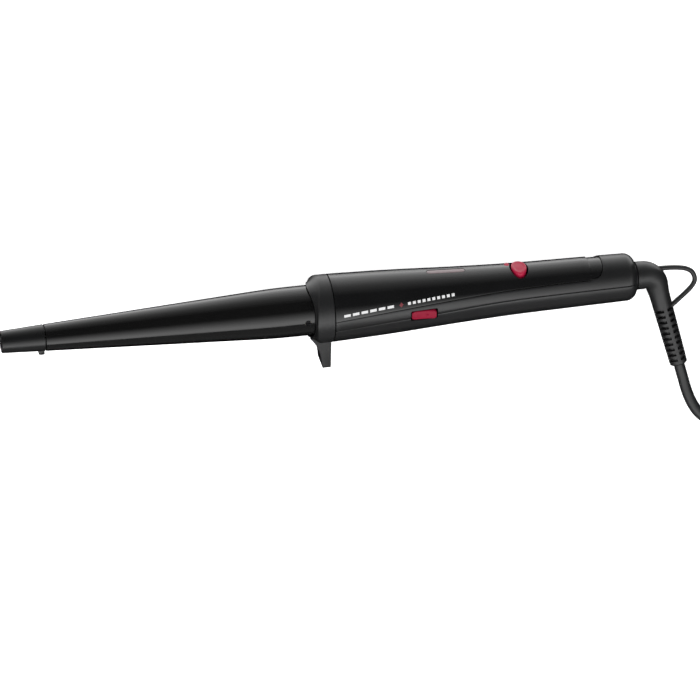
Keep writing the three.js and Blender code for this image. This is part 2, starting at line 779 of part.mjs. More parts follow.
const part = new THREE.Group();
part.add(
  onTable,
  mesh("cord", cordAlong(CORD_ROUTE), rubber),
  mesh("cord_hank", cordHank(), rubber),
  mesh("cord_tie", cordTie(), satinBlack),
  mesh("cord_tail", cordAlong(TAIL_ROUTE), rubber),
  mesh("plug_relief", plugRelief(), rubber),
  mesh("plug_body", plugBody(), mattBlack),
  mesh("plug_sleeve_live", plugSleeve(1), satinBlack),
  mesh("plug_sleeve_neutral", plugSleeve(-1), satinBlack),
  mesh("plug_pin_live", plugPin(1), brass),
  mesh("plug_pin_neutral", plugPin(-1), brass),
);
export default part;
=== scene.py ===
"""The looks of a conical curling wand on a swivel cord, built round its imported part.

The wand's pieces are drawn in millimetres along its own axis, as in the part: X runs from the cool tip to
the cord, the power button is on +Z, the rocker faces -Y and the fin points to -Z. WAND lays them on the
table. The cord, its hank and the plug are drawn in the table's own millimetres, which TABLE places.
"""

import json
import math

import bmesh
import bpy
from mathutils import Matrix, Vector


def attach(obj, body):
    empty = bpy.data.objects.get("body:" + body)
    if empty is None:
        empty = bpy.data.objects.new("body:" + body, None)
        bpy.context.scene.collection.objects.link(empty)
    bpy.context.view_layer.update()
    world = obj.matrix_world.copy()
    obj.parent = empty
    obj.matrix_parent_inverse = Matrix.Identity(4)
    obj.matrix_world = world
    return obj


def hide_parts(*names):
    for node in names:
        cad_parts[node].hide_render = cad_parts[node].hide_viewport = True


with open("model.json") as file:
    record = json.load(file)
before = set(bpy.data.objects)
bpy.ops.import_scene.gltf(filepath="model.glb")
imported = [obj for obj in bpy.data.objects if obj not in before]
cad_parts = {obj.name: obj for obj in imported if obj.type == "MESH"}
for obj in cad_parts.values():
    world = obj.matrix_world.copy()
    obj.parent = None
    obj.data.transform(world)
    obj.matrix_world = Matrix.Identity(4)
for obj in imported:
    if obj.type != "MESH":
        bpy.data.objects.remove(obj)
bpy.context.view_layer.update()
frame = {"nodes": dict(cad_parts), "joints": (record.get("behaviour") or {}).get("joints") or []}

# ---------------------------------------------------------------- where the wand lies
MM = 0.001
GAP = 0.3  # between neighbouring pieces

joints = {joint["name"]: joint for joint in frame["joints"]}
ALONG = -Vector(joints["cord_swivel"]["axis"]).normalized()
UP = Vector(joints["rocker_tip"]["axis"])
UP = (UP - ALONG * UP.dot(ALONG)).normalized()
SIDE = UP.cross(ALONG)
COLLAR_JOINT = Vector(joints["cord_swivel"]["pos_m"])
WAND_TURN = Matrix((ALONG, SIDE, UP)).transposed().to_4x4()
WAND = Matrix.Translation(COLLAR_JOINT) @ WAND_TURN @ Matrix.Scale(MM, 4)
TABLE = Matrix.Scale(MM, 4)

# ---------------------------------------------------------------- sizes
# They are the part's own, but for the collar's mouth, the neck's end, the elbow, the boot and the lens's width.
TIP_X, TIP_R = -164.2, 5.55
BARREL_FRONT_X, BARREL_FRONT_R = -142.4, 6.67
CONE_END_X, BARREL_END_X, BARREL_R = -28, 9, 12.5
BARREL_WALL = 1
EASE = 8  # half the stretch in which the cone becomes straight
BARREL_SCREW_X = -13
COLLAR_R, COLLAR_MOUTH_R, SPIGOT_R, SPIGOT_END_X = 17, 13.3, 14.2, 8.7
COLLAR_LIP_X, COLLAR_EDGE_X = -9.5, -9  # the mouth's lip, and its chamfer's outer edge
FIN_WIDTH, FIN_FOOT_Z, FIN_CORNER = 12, -31.5, 1.2
HANDLE_STATIONS = [(0, 17), (30, 15.95), (60, 14.35), (90, 13.05), (120, 12.45), (150, 12)]
HANDLE_START_X, HANDLE_CORNER_X, HANDLE_CORNER, HANDLE_WALL = 0.15, 150.1, 5.3, 2.2
SEAM = [(0, -4), (28, -2.2), (55, -0.8), (77, 0.6), (100, 1.3), (160, 1.5)]
COVER_EDGE = [(0, 1.5), (30, 3.7), (80, 6), (110, 6.6)]
COVER_END_X, COVER_CORNER, COVER_THICK = 137.7, 7, 1.3
BUTTON_X, BUTTON_TURN = 95.6, math.radians(6)  # round from the top, towards the rocker's side
ROCKER_X, ROCKER_Z, ROCKER_PIVOT_Y, ROCKER_TILT = 44.95, -0.4, -12.2, math.radians(4)
LENS_X, LENS_HALF_LENGTH, LENS_HALF_WIDTH = 58.7, 9.65, 1.5
SCREW_STATIONS_X = (25, 110)
SPINDLE_R, NECK_R, NECK_END_X = 6, 7.1, 155.9
ELBOW_CORNER_X, ELBOW_BEND_R = 165.5, 7.4
BOOT_ANGLE, BOOT_LEAN, BOOT_LENGTH = math.radians(76.5), math.radians(14.4), 49.5
BOOT_START_R, BOOT_END_R = 5.45, 4.45
CORD_R = 2.8

# ---------------------------------------------------------------- camera and light
TOWARD_CAMERA = (ALONG * -0.17 + SIDE * -0.832 + UP * 0.53).normalized()
level = (ALONG - TOWARD_CAMERA * ALONG.dot(TOWARD_CAMERA)).normalized()
rise = TOWARD_CAMERA.cross(level)
CAMERA_ROLL = math.radians(6.05)
RIGHT = level * math.cos(CAMERA_ROLL) - rise * math.sin(CAMERA_ROLL)
IMAGE_UP = level * math.sin(CAMERA_ROLL) + rise * math.cos(CAMERA_ROLL)
VIEW_WIDTH, CAMERA_DISTANCE, SENSOR = 0.3465, 2.5, 36
AIM_RIGHT, AIM_DOWN = 0.0102, 0.0209  # of the view's middle, in metres from the collar's joint


def put_in_scene(name, data):
    made = bpy.data.objects.new(name, data)
    bpy.context.scene.collection.objects.link(made)
    return made


def add_camera():
    aim = COLLAR_JOINT + RIGHT * AIM_RIGHT - IMAGE_UP * AIM_DOWN
    data = bpy.data.cameras.new("camera")
    data.sensor_width = SENSOR
    data.lens = SENSOR * CAMERA_DISTANCE / VIEW_WIDTH
    camera = put_in_scene("camera", data)
    turn = Matrix((RIGHT, IMAGE_UP, TOWARD_CAMERA)).transposed().to_4x4()
    camera.matrix_world = Matrix.Translation(aim + TOWARD_CAMERA * CAMERA_DISTANCE) @ turn
    bpy.context.scene.camera = camera


def softbox(name, angle, distance, shift, size, radiance):
    """An area light turned about the wand by angle from the camera, towards the top of its view."""
    away = TOWARD_CAMERA * math.cos(angle) + rise * math.sin(angle)
    data = bpy.data.lights.new(name, "AREA")
    data.shape = "RECTANGLE"
    data.size, data.size_y = size
    data.energy = radiance * math.pi * size[0] * size[1]
    light = put_in_scene(name, data)
    turn = Matrix((level, away.cross(level), away)).transposed().to_4x4()
    light.matrix_world = Matrix.Translation(COLLAR_JOINT + level * shift + away * distance) @ turn
    light.visible_camera = False


# Strip lights round the wand's axis. Each has its turn from the camera, where upwards is more, its spread
# and its radiance. The wand's gloss sees these strips and the two end cards, and nothing else of the room.
STRIPS = [
    (-96, 50, 0.16), (-57, 18, 2.6), (-44, 8, 2.1), (-36, 8, 1.55), (-28, 8, 1.05), (-20, 8, 0.6),
    (-12, 8, 0.22), (47, 10, 0.12), (57, 10, 0.3), (67, 10, 0.5), (77, 10, 0.85), (87, 10, 1.35),
    (98, 12, 1.75), (111, 14, 2.3), (125, 14, 2.9), (138, 12, 1.5),
]
STRIP_DISTANCE, STRIP_LENGTH, STRIP_SHIFT = 0.8, 1.9, 0.15
CARD_DISTANCE, CARD_SIZE, CARD_RADIANCE = 0.9, (0.6, 0.9), 0.8


def add_strips():
    for k, (turn, spread, radiance) in enumerate(STRIPS):
        size = (STRIP_LENGTH, 2 * STRIP_DISTANCE * math.tan(math.radians(spread / 2)))
        softbox(f"strip_{k}", math.radians(turn), STRIP_DISTANCE, STRIP_SHIFT, size, radiance)
    for name, turn, shift in (("tip_end_card", 10, -1.2), ("cord_end_card", -20, 1.3)):
        softbox(name, math.radians(turn), CARD_DISTANCE, shift, CARD_SIZE, CARD_RADIANCE)


def add_sun():
    data = bpy.data.lights.new("soft_overhead", "SUN")
    data.energy, data.angle = 0.4, math.radians(100)
    sun = put_in_scene("soft_overhead", data)
    sun.rotation_euler = (math.radians(-25), math.radians(-20), 0)
    sun.visible_glossy = False


def add_world():
    world = bpy.data.worlds.new("studio")
    bpy.context.scene.world = world
    world.use_nodes = True
    background = world.node_tree.nodes["Background"]
    background.inputs["Color"].default_value = (0.99, 0.995, 1.0, 1)
    background.inputs["Strength"].default_value = 1.3
    world.cycles_visibility.glossy = False
    bpy.context.scene.view_settings.view_transform = "Standard"


# ---------------------------------------------------------------- finishes
class Term:
    """A node's socket in an expression, where arithmetic adds Math nodes."""

    def __init__(self, finish, socket):
        self.finish, self.socket = finish, socket

    def with_other(self, operation, other):
        return self.finish.node("Math", {"operation": operation}, {0: self, 1: other})

    def __add__(self, other):
        return self.with_other("ADD", other)

    __radd__ = __add__

    def __mul__(self, other):
        return self.with_other("MULTIPLY", other)

    __rmul__ = __mul__


class Finish:
    """A material whose colour, roughness and relief come from nodes."""

    def __init__(self, name, **constants):
        self.material = bpy.data.materials.new(name)
        self.material.use_nodes = True
        self.tree = self.material.node_tree
        self.surface = self.tree.nodes["Principled BSDF"]
        for socket, value in constants.items():
            self.surface.inputs[socket.replace("_", " ")].default_value = value
        self.place = self.node("TexCoord", output="Object")

    def feed(self, socket, value):
        if isinstance(value, Term):
            self.tree.links.new(value.socket, socket)
        else:
            socket.default_value = value

    def node(self, kind, settings=None, sockets=None, output=0):
        """One node: its settings first, then the values or links of its sockets."""
        made = self.tree.nodes.new("ShaderNode" + kind)
        for name, value in (settings or {}).items():
            setattr(made, name, value)
        for name, value in (sockets or {}).items():
            self.feed(made.inputs[name], value)
        return Term(self, made.outputs[output])

    def noise(self, scale, detail=3, rough=0.5, stretch=(1, 1, 1)):
        """Cloudy noise, scale times to the metre, from about 0.3 to 0.7."""
        place = self.node("Mapping", None, {"Vector": self.place, "Scale": stretch})
        sockets = {"Vector": place, "Scale": scale, "Detail": detail, "Roughness": rough}
        return self.node("TexNoise", None, sockets, "Fac")

    def grain(self, scale):
        """Fine pits, as spark erosion leaves in a mould."""
        sockets = {"Vector": self.place, "Scale": scale}
        return self.node("TexVoronoi", {"feature": "F1"}, sockets, "Distance")

    def mix(self, factor, first, second):
        sockets = {0: factor, 6: first, 7: second}
        return self.node("Mix", {"data_type": "RGBA"}, sockets, 2)

    def between(self, term, low, high):
        """Term's middle band spread to run from 0 at low to 1 at high."""
        sockets = {"Value": term, "From Min": low, "From Max": high}
        return self.node("MapRange", {"interpolation_type": "SMOOTHSTEP"}, sockets)

    def colour(self, value):
        self.feed(self.surface.inputs["Base Color"], value)

    def roughness(self, value):
        self.feed(self.surface.inputs["Roughness"], value)

    def relief(self, height, depth):
        """Height from 0 to 1 stands for depth millimetres."""
        sockets = {"Height": height, "Strength": 1.0, "Distance": depth * MM}
        self.feed(self.surface.inputs["Normal"], self.node("Bump", None, sockets, "Normal"))


def grey(value, tint=(1.0, 1.0, 1.0)):
    return (value * tint[0], value * tint[1], value * tint[2], 1)


COOL_TINT = (0.97, 0.99, 1.03)


def moulded(name, shade, rough, pits=0.02, pit_scale=4500, spread=0.05):
    """Moulded plastic or rubber: a fine grain, faint clouds of colour, and handling marks in its gloss."""
    made = Finish(name)
    clouds = made.noise(45, 4)
    handled = made.between(made.noise(16, 5, 0.6, (1, 2.2, 2.2)), 0.42, 0.68)
    made.colour(made.mix(clouds, grey(shade * 0.8, COOL_TINT), grey(shade * 1.25, COOL_TINT)))
    made.roughness(rough - spread / 2 + spread * handled + 0.05 * made.noise(900, 2))
    made.relief(made.grain(pit_scale), pits)
    return made.material


def ceramic_coat():
    """Glossy black ceramic: a hard even coat with the faintest ripple and dark glassy specks."""
    made = Finish("black ceramic coat", Specular_IOR_Level=0.5)
    specks = made.between(made.grain(2600), 0.12, 0.3)
    made.colour(made.mix(specks, grey(0.0065, (1.0, 1.0, 1.1)), grey(0.0032)))
    made.roughness(0.1 + 0.05 * made.between(made.noise(30, 5, 0.6), 0.4, 0.7) + 0.03 * specks)
    made.relief(made.noise(700, 2), 0.004)
    return made.material


def red_plastic(name, shade, gloss):
    """A crimson moulding: shade is how light its red is, and gloss how strongly it reflects."""
    made = Finish(name, Specular_IOR_Level=gloss)
    dark = (0.8 * shade, 0.010 * shade, 0.075 * shade, 1)
    light = (1.1 * shade, 0.020 * shade, 0.12 * shade, 1)
    made.colour(made.mix(made.noise(260, 3), dark, light))
    made.roughness(0.3 + 0.1 * made.noise(420, 4))
    made.relief(made.grain(5200), 0.012)
    return made.material


def lens_plastic():
    made = Finish("smoky red lens", Coat_Weight=0.5, Coat_Roughness=0.1)
    streaks = made.noise(320, 3, 0.5, (1, 4, 4))
    made.colour(made.mix(streaks, (0.045, 0.018, 0.022, 1), (0.085, 0.04, 0.046, 1)))
    made.roughness(0.3 + 0.15 * made.noise(600, 2))
    made.relief(made.grain(2500), 0.02)
    return made.material


def printed(name, ink):
    """Ink on plastic, darker where it is worn."""
    made = Finish(name)
    worn = made.between(made.noise(1800, 4, 0.7), 0.56, 0.7)
    made.colour(made.mix(worn, (*ink, 1), (*(0.7 * part for part in ink), 1)))
    made.roughness(0.4 + 0.2 * made.noise(1200, 2))
    made.relief(made.noise(3000, 2), 0.01)
    return made.material


def bare_metal(name, colour, rough):
    """Drawn or pressed metal with fine lines and a little tarnish."""
    made = Finish(name, Metallic=1.0)
    lines = made.noise(900, 3, 0.6, (1, 12, 12))
    tarnish = made.between(made.noise(220, 4), 0.45, 0.75)
    dull = tuple(0.6 * part for part in colour)
    made.colour(made.mix(tarnish, (*colour, 1), (*dull, 1)))
    made.roughness(rough + 0.18 * lines + 0.15 * tarnish)
    made.relief(lines, 0.006)
    return made.material


def coloured(name, colour, rough):
    """A plain coloured moulding or film, mottled a little."""
    made = Finish(name)
    light = tuple(min(1.0, 1.15 * part) for part in colour)
    dark = tuple(0.8 * part for part in colour)
    made.colour(made.mix(made.noise(300, 4), (*dark, 1), (*light, 1)))
    made.roughness(rough + 0.12 * made.noise(600, 3))
    made.relief(made.grain(2400), 0.015)
    return made.material


CERAMIC = ceramic_coat()
TIP_PLASTIC = moulded("heatproof tip plastic", 0.0045, 0.27, pits=0.010)
COLLAR_PLASTIC = moulded("grained collar plastic", 0.008, 0.34, pits=0.03, pit_scale=3200)
SHELL_PLASTIC = moulded("satin shell plastic", 0.007, 0.30, pits=0.010)
COVER_GLOSS = moulded("glossy cover plastic", 0.004, 0.16, pits=0.002, pit_scale=1500, spread=0.06)
BOOT_RUBBER = moulded("soft boot rubber", 0.009, 0.36, pits=0.02, pit_scale=3800)
CORD_RUBBER = moulded("cord sheath", 0.010, 0.38, pits=0.015, pit_scale=3000)
PLUG_PLASTIC = moulded("plug moulding", 0.02, 0.45, pits=0.03, pit_scale=2600)
SLEEVE_BLACK = moulded("pin sleeve", 0.012, 0.35, pits=0.006)
INNER_BLACK = moulded("inner black plastic", 0.02, 0.5)
RED = red_plastic("crimson plastic", 0.25, 0.3)
# The rocker's red is the button's crimson set darker as painted shade, and given less gloss.
SHADED_ROCKER_RED = red_plastic("crimson plastic darkened for painted shade", 0.16, 0.12)
LENS = lens_plastic()
WHITE_PRINT = printed("white print", (0.42, 0.42, 0.42))
RED_PRINT = printed("red print", (0.12, 0.008, 0.015))
STEEL = bare_metal("screw steel", (0.42, 0.42, 0.43), 0.3)
BLACK_STEEL = bare_metal("blackened steel", (0.025, 0.025, 0.027), 0.4)
NICKEL = bare_metal("nickelled pin", (0.62, 0.60, 0.56), 0.18)
BRASS = bare_metal("contact brass", (0.72, 0.50, 0.20), 0.25)
ALUMINIUM = bare_metal("heater aluminium", (0.75, 0.76, 0.77), 0.35)
NYLON = coloured("inner nylon", (0.62, 0.58, 0.48), 0.45)
FILM = coloured("amber heater film", (0.55, 0.25, 0.04), 0.3)
SILICONE = coloured("wire silicone", (0.55, 0.5, 0.46), 0.5)
BOARD = coloured("board laminate", (0.02, 0.16, 0.06), 0.4)


# ---------------------------------------------------------------- making meshes
def face_out(bm):
    """Turns a closed form's faces outwards."""
    bmesh.ops.recalc_face_normals(bm, faces=bm.faces)
    if bm.calc_volume(signed=True) < 0:
        bmesh.ops.reverse_faces(bm, faces=bm.faces)
    return bm


def closed(bm):
    """Joins a sheet's meeting edges and fills the holes left at its ends."""
    bmesh.ops.remove_doubles(bm, verts=bm.verts, dist=1e-3)
    bmesh.ops.holes_fill(bm, edges=[e for e in bm.edges if e.is_boundary], sides=0)
    return face_out(bm)


def flat_sheet(u_stations, v_stations):
    """A square sheet from -1 to 1 both ways, with a corner for every pair of stations."""
    bm = bmesh.new()
    bmesh.ops.create_grid(bm, x_segments=len(u_stations) - 1, y_segments=len(v_stations) - 1, size=1)
    return bm


def at_stations(vert, u_stations, v_stations):
    """The pair of stations that a flat sheet's corner stands for."""
    i = round((vert.co.x + 1) / 2 * (len(u_stations) - 1))
    j = round((vert.co.y + 1) / 2 * (len(v_stations) - 1))
    return u_stations[i], v_stations[j]


def grid(u_stations, v_stations, place):
    """A sheet with a corner at every pair of stations, put where place(u, v) says."""
    bm = flat_sheet(u_stations, v_stations)
    for vert in bm.verts:
        vert.co = place(*at_stations(vert, u_stations, v_stations))
    return bm


def slab(u_stations, v_stations, place):
    """A closed slab: place(u, v, 0) is its outer face, and place(u, v, 1) its inner one."""
    bm = flat_sheet(u_stations, v_stations)
    thicken(bm, Vector((0, 0, 1)))
    for vert in bm.verts:
        vert.co = place(*at_stations(vert, u_stations, v_stations), round(vert.co.z))
    return face_out(bm)


def thicken(bm, step):
    """Turns flat faces into a closed solid by extruding them by step."""
    made = bmesh.ops.extrude_face_region(bm, geom=bm.faces[:], use_keep_orig=True)
    moved = [part for part in made["geom"] if isinstance(part, bmesh.types.BMVert)]
    bmesh.ops.translate(bm, verts=moved, vec=step)


def plate(points, step):
    """A flat outline with a thickness."""
    bm = bmesh.new()
    bm.faces.new([bm.verts.new(point) for point in points])
    thicken(bm, Vector(step))
    return face_out(bm)


def turned(profile, steps=96, hollow=True):
    """A piece turned about X from its outline of (x, radius), which ends on the axis unless it is hollow."""
    bm = bmesh.new()
    corners = [bm.verts.new((x, 0, r)) for x, r in profile]
    chain = corners + corners[:1] if hollow else corners
    edges = [bm.edges.new(pair) for pair in zip(chain, chain[1:])]
    sockets = {"cent": (0, 0, 0), "axis": (1, 0, 0), "angle": 2 * math.pi, "steps": steps}
    bmesh.ops.spin(bm, geom=corners + edges, use_merge=True, **sockets)
    bmesh.ops.remove_doubles(bm, verts=bm.verts, dist=1e-4)
    return face_out(bm)


def rod(start, end, radius, segments=32):
    """A round bar from start to end."""
    start, end = Vector(start), Vector(end)
    bm = bmesh.new()
    sizes = {"radius1": radius, "radius2": radius, "depth": (end - start).length}
    bmesh.ops.create_cone(bm, cap_ends=True, segments=segments, **sizes)
    turn = (end - start).to_track_quat("Z", "Y").to_matrix().to_4x4()
    bm.transform(Matrix.Translation((start + end) / 2) @ turn)
    return bm


def oval(half_x, half_y, low, high, segments=48):
    bm = bmesh.new()
    bmesh.ops.create_circle(bm, cap_ends=True, radius=1, segments=segments)
    bm.transform(Matrix.Translation((0, 0, low)) @ Matrix.Diagonal((half_x, half_y, 1, 1)))
    thicken(bm, Vector((0, 0, high - low)))
    return face_out(bm)


def block(low, high):
    bm = bmesh.new()
    bmesh.ops.create_cube(bm, size=1)
    low, high = Vector(low), Vector(high)
    bm.transform(Matrix.Translation((low + high) / 2) @ Matrix.Diagonal((*(high - low), 1)))
    return bm


def soften(bm, width, turn=30, segments=2):
    """Rounds every edge where two faces meet at more than turn degrees."""
    sharp = [e for e in bm.edges if e.is_manifold and e.calc_face_angle() > math.radians(turn)]
    settings = {"affect": "EDGES", "segments": segments, "profile": 0.5, "material": -1}
    bmesh.ops.bevel(bm, geom=sharp, offset=width, offset_type="OFFSET", clamp_overlap=True, **settings)
    return bm


def combine(bm, other, operation):
    """Bm joined with another closed form, or cut by it."""
    forms = []
    for form in (bm, other):
        mesh = bpy.data.meshes.new("form")
        form.to_mesh(mesh)
        form.free()
        forms.append(put_in_scene("form", mesh))
    modifier = forms[0].modifiers.new("combine", "BOOLEAN")
    modifier.operation, modifier.object, modifier.solver = operation, forms[1], "EXACT"
    bpy.context.view_layer.update()
    result = bmesh.new()
    result.from_object(forms[0], bpy.context.evaluated_depsgraph_get())
    for form in forms:
        bpy.data.meshes.remove(form.data)
    return result


def cut(bm, *tools):
    for tool in tools:
        bm = combine(bm, tool, "DIFFERENCE")
    return bm


def joined(bm, *others):
    """Separate closed forms in one mesh."""
    for other in others:
        mesh = bpy.data.meshes.new("joined")
        other.to_mesh(mesh)
        other.free()
        bm.from_mesh(mesh)
        bpy.data.meshes.remove(mesh)
    return bm


def piece(name, bm, finish, body, stands_for=(), place=WAND, crease=32):
    """A finished piece, smooth but for its sharp edges, and riding on its body."""
    bmesh.ops.remove_doubles(bm, verts=bm.verts, dist=2e-4)
    bm.transform(place)
    for face in bm.faces:
        face.smooth = True
    for edge in bm.edges:
        edge.smooth = edge.is_manifold and edge.calc_face_angle() < math.radians(crease)
    mesh = bpy.data.meshes.new(name)
    bm.to_mesh(mesh)
    bm.free()
    mesh.materials.append(finish)
    made = put_in_scene(name, mesh)
    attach(made, body)
    if stands_for:
        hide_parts(*stands_for)
    return made


def stations(start, end, count):
    return [start + (end - start) * i / count for i in range(count + 1)]


def blend_in(value, low, high):
    """0 up to low, 1 from high, and smooth between."""
    t = min(1.0, max(0.0, (value - low) / (high - low)))
    return t * t * (3 - 2 * t)


def through(points, x):
    """The height at x of a smooth line through points, level past its ends."""
    x = min(max(x, points[0][0]), points[-1][0])
    last = len(points) - 1
    i = next(k for k in range(last) if x <= points[k + 1][0])

    def slope(k):
        before, after = points[max(k - 1, 0)], points[min(k + 1, last)]
        return (after[1] - before[1]) / (after[0] - before[0])

    (x0, y0), (x1, y1) = points[i], points[i + 1]
    p = (x - x0) / (x1 - x0)
    bend = (x1 - x0) * ((p**3 - 2 * p**2 + p) * slope(i) + (p**3 - p**2) * slope(i + 1))
    return y0 + (y1 - y0) * (3 * p**2 - 2 * p**3) + bend


def route_points(points, count):
    """Places along one smooth curve through points, count of them between each pair."""
    points = [Vector(point) for point in points]
    ends = [2 * points[0] - points[1], *points, 2 * points[-1] - points[-2]]
    made = []
    for a, b, c, d in zip(ends, ends[1:], ends[2:], ends[3:]):
        for k in range(count):
            p = k / count
            made.append(0.5 * (2 * b + (c - a) * p + (2 * a - 5 * b + 4 * c - d) * p**2
                               + (3 * b - a - 3 * c + d) * p**3))
    return [*made, points[-1]]


# ---------------------------------------------------------------- the cord, its hank and the plug
CORD_ROUTE = [
    (166.3, -30.8, 4.75),
    (167.9, -37.5, 3.75),
    (169.8, -45.5, 3.15),
    (172.3, -52.4, 2.92),
    (175.8, -57.8, 2.87),
    (180.6, -61.8, 2.97),
    (186.1, -64.4, 3.35),
    (192.7, -65.2, 3.9),
]
TAIL_ROUTE = [
    (272.6, -63.2, 20.4),
    (282.8, -57.3, 18.6),
    (287.9, -52, 16.6),
    (290.3, -48.3, 15.1),
    (294.3, -37.2, 11),
    (294.3, -25.5, 7.2),
    (290.3, -14.4, 4.6),
    (282.8, -5.4, 3.4),
    (272.6, 0.5, 4.2),
    (261.3, 2.5, 6.9),
]
HANK_NEAR_X, HANK_FAR_X, HANK_Y, HANK_BOTTOM, HANK_LAYERS = 209, 261, -42.8, 1.1, 4
OUTER_FOLD_R, INNER_FOLD_R = 22.4, 16.8
LAYER_TURNS = 2  # an outer one and an inner one
HANK_FIRST_Z = 3.95


def layer_height(layer):
    return HANK_FIRST_Z + 2 * CORD_R * layer


def hank_turns():
    """The hank's folded turns, seen from above counter-clockwise, each ending where the next begins."""
    points = []
    runs = range(HANK_LAYERS * LAYER_TURNS)
    radii = [OUTER_FOLD_R if k % 4 in (0, 3) else INNER_FOLD_R for k in runs]
    heights = [layer_height(k // LAYER_TURNS) for k in runs]
    for k in runs[:-1]:
        radius, z = radii[k], heights[k]
        for x in stations(HANK_NEAR_X, HANK_FAR_X, 8)[:-1]:
            points.append((x, HANK_Y - radius, z))
        for a in stations(-math.pi / 2, math.pi / 2, 16)[:-1]:
            points.append((HANK_FAR_X + radius * math.cos(a), HANK_Y + radius * math.sin(a), z))
        for x in stations(HANK_FAR_X, HANK_NEAR_X, 8)[:-1]:
            points.append((x, HANK_Y + radius, z))
        for a in stations(math.pi / 2, 1.5 * math.pi, 16)[:-1]:
            turn = blend_in(a, math.pi / 2, 1.5 * math.pi)
            r = radius + (radii[k + 1] - radius) * turn
            height = z + (heights[k + 1] - z) * turn
            points.append((HANK_NEAR_X + r * math.cos(a), HANK_Y + r * math.sin(a), height))
    for x in stations(HANK_NEAR_X, HANK_FAR_X, 8):
        points.append((x, HANK_Y - OUTER_FOLD_R, heights[-1]))
    return [Vector(point) for point in points]


def mains_cord():
    lead_in = route_points([*CORD_ROUTE, (HANK_NEAR_X, HANK_Y - OUTER_FOLD_R, layer_height(0))], 4)[:-1]
    turns = hank_turns()
    tail = route_points([turns[-1], *TAIL_ROUTE], 5)[1:]
    line = [TABLE @ point for point in [*lead_in, *turns, *tail]]
    data = bpy.data.curves.new("mains_cord", "CURVE")
    data.dimensions = "3D"
    data.bevel_depth = CORD_R * MM
    data.bevel_resolution = 4
    data.use_fill_caps = True
    spline = data.splines.new("POLY")
    spline.points.add(len(line) - 1)
    for point, place in zip(spline.points, line):
        point.co = (*place, 1)
    spline.use_smooth = True
    data.materials.append(CORD_RUBBER)
    made = put_in_scene("mains_cord", data)
    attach(made, "cord_side")
    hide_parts("cord", "cord_hank", "cord_tail")
    return made, line[0]


def hank_tie():
    """A soft strap round the middle of the hank, with its loose end laid over."""
    x = (HANK_NEAR_X + HANK_FAR_X) / 2
    half, thick, width = OUTER_FOLD_R + CORD_R + GAP, 0.7, 5
    low, high = HANK_BOTTOM - GAP, HANK_BOTTOM + 2 * CORD_R * HANK_LAYERS + 0.1 + GAP
    corner = 4
    centres = [(half - corner, high - corner, 0), (corner - half, high - corner, 90),
               (corner - half, low + corner, 180), (half - corner, low + corner, 270)]
    around = []
    for y, z, start in centres:
        for turn in stations(math.radians(start), math.radians(start + 90), 6):
            around.append((y, z, turn))
    around.append(around[0])

    def place(u, v, inner):
        y, z, turn = around[round(v)]
        r = corner + (0 if inner else thick)
        return Vector((x + width * (u - 0.5), HANK_Y + y + r * math.cos(turn), z + r * math.sin(turn)))

    band = soften(slab([0, 0.5, 1], range(len(around)), place), 0.2)
    tongue = soften(block((x - 1.9, HANK_Y - 14, high + thick - 0.1), (x + 1.9, HANK_Y + 9, high + 1.5)), 0.3)
    strap = joined(band, tongue)
    return piece("hank_tie", strap, SLEEVE_BLACK, "cord_side", ["cord_tie"], TABLE)


PLUG_FACE_X, PLUG_Y, PLUG_LENGTH, PLUG_HALF_WIDTH, PLUG_HALF_THICK = 201, 2.5, 35, 17.65, 6.85
PLUG_Z = PLUG_HALF_THICK + 0.05
PIN_Y = [PLUG_Y + side * 9.3 for side in (-1, 1)]
PIN_TIP_X, PIN_R = PLUG_FACE_X - 19, 1.95
NOSE_END_X = PIN_TIP_X + 9  # where the pin's bare end stops
PLUG_BACK_X = PLUG_FACE_X + PLUG_LENGTH
RELIEF_LENGTH = 24.4


def plug_half_width(x):
    """Full width by the pins, then waisted down to the cord."""
    narrow = blend_in(x - PLUG_FACE_X, 4, 24)
    return PLUG_HALF_WIDTH + (6.6 - PLUG_HALF_WIDTH) * narrow


def plug_body():
    """The plug's moulding, with holes for its pins and grip grooves on both flanks."""
    def place(u, v):
        x = PLUG_FACE_X + u
        half = plug_half_width(x)
        thick = PLUG_HALF_THICK - 0.9 * blend_in(u, 10, PLUG_LENGTH)
        c, s = math.cos(v), math.sin(v)
        bulge = 0.42  # a rounded oblong section
        y = half * math.copysign(abs(c) ** bulge, c)
        z = thick * math.copysign(abs(s) ** bulge, s)
        return Vector((x, PLUG_Y + y, PLUG_Z + z))

    sides = grid(stations(0, PLUG_LENGTH, 28), stations(0, 2 * math.pi, 72), place)
    body = soften(closed(sides), 0.7, 55, 3)
    for y in PIN_Y:
        body = cut(body, rod((PLUG_FACE_X - 1, y, PLUG_Z), (PLUG_FACE_X + 5, y, PLUG_Z), 2 + GAP))
    for k in range(4):
        x = PLUG_FACE_X + 13 + 3.2 * k
        for side in (-1, 1):
            y = PLUG_Y + side * (plug_half_width(x) + 1.1)
            body = cut(body, rod((x, y, PLUG_Z - 9), (x, y, PLUG_Z + 9), 1.5, 16))
    return piece("plug_moulding", body, PLUG_PLASTIC, "cord_side", ["plug_body"], TABLE)


def pin_metal(node, y):
    """A pin: its bare nose, and the core that runs on into the plug."""
    core = rod((PIN_TIP_X + 8, y, PLUG_Z), (PLUG_FACE_X + 4.5, y, PLUG_Z), 1.2)
    profile = [(PIN_TIP_X, 0), (PIN_TIP_X, 1), (PIN_TIP_X + 0.4, 1.6), (PIN_TIP_X + 1.3, PIN_R),
               (NOSE_END_X, PIN_R), (NOSE_END_X, 0)]
    nose = turned(profile, 48, hollow=False)
    bmesh.ops.translate(nose, verts=nose.verts, vec=(0, y, PLUG_Z))
    return piece(node + "_metal", joined(core, nose), NICKEL, "cord_side", [node], TABLE)


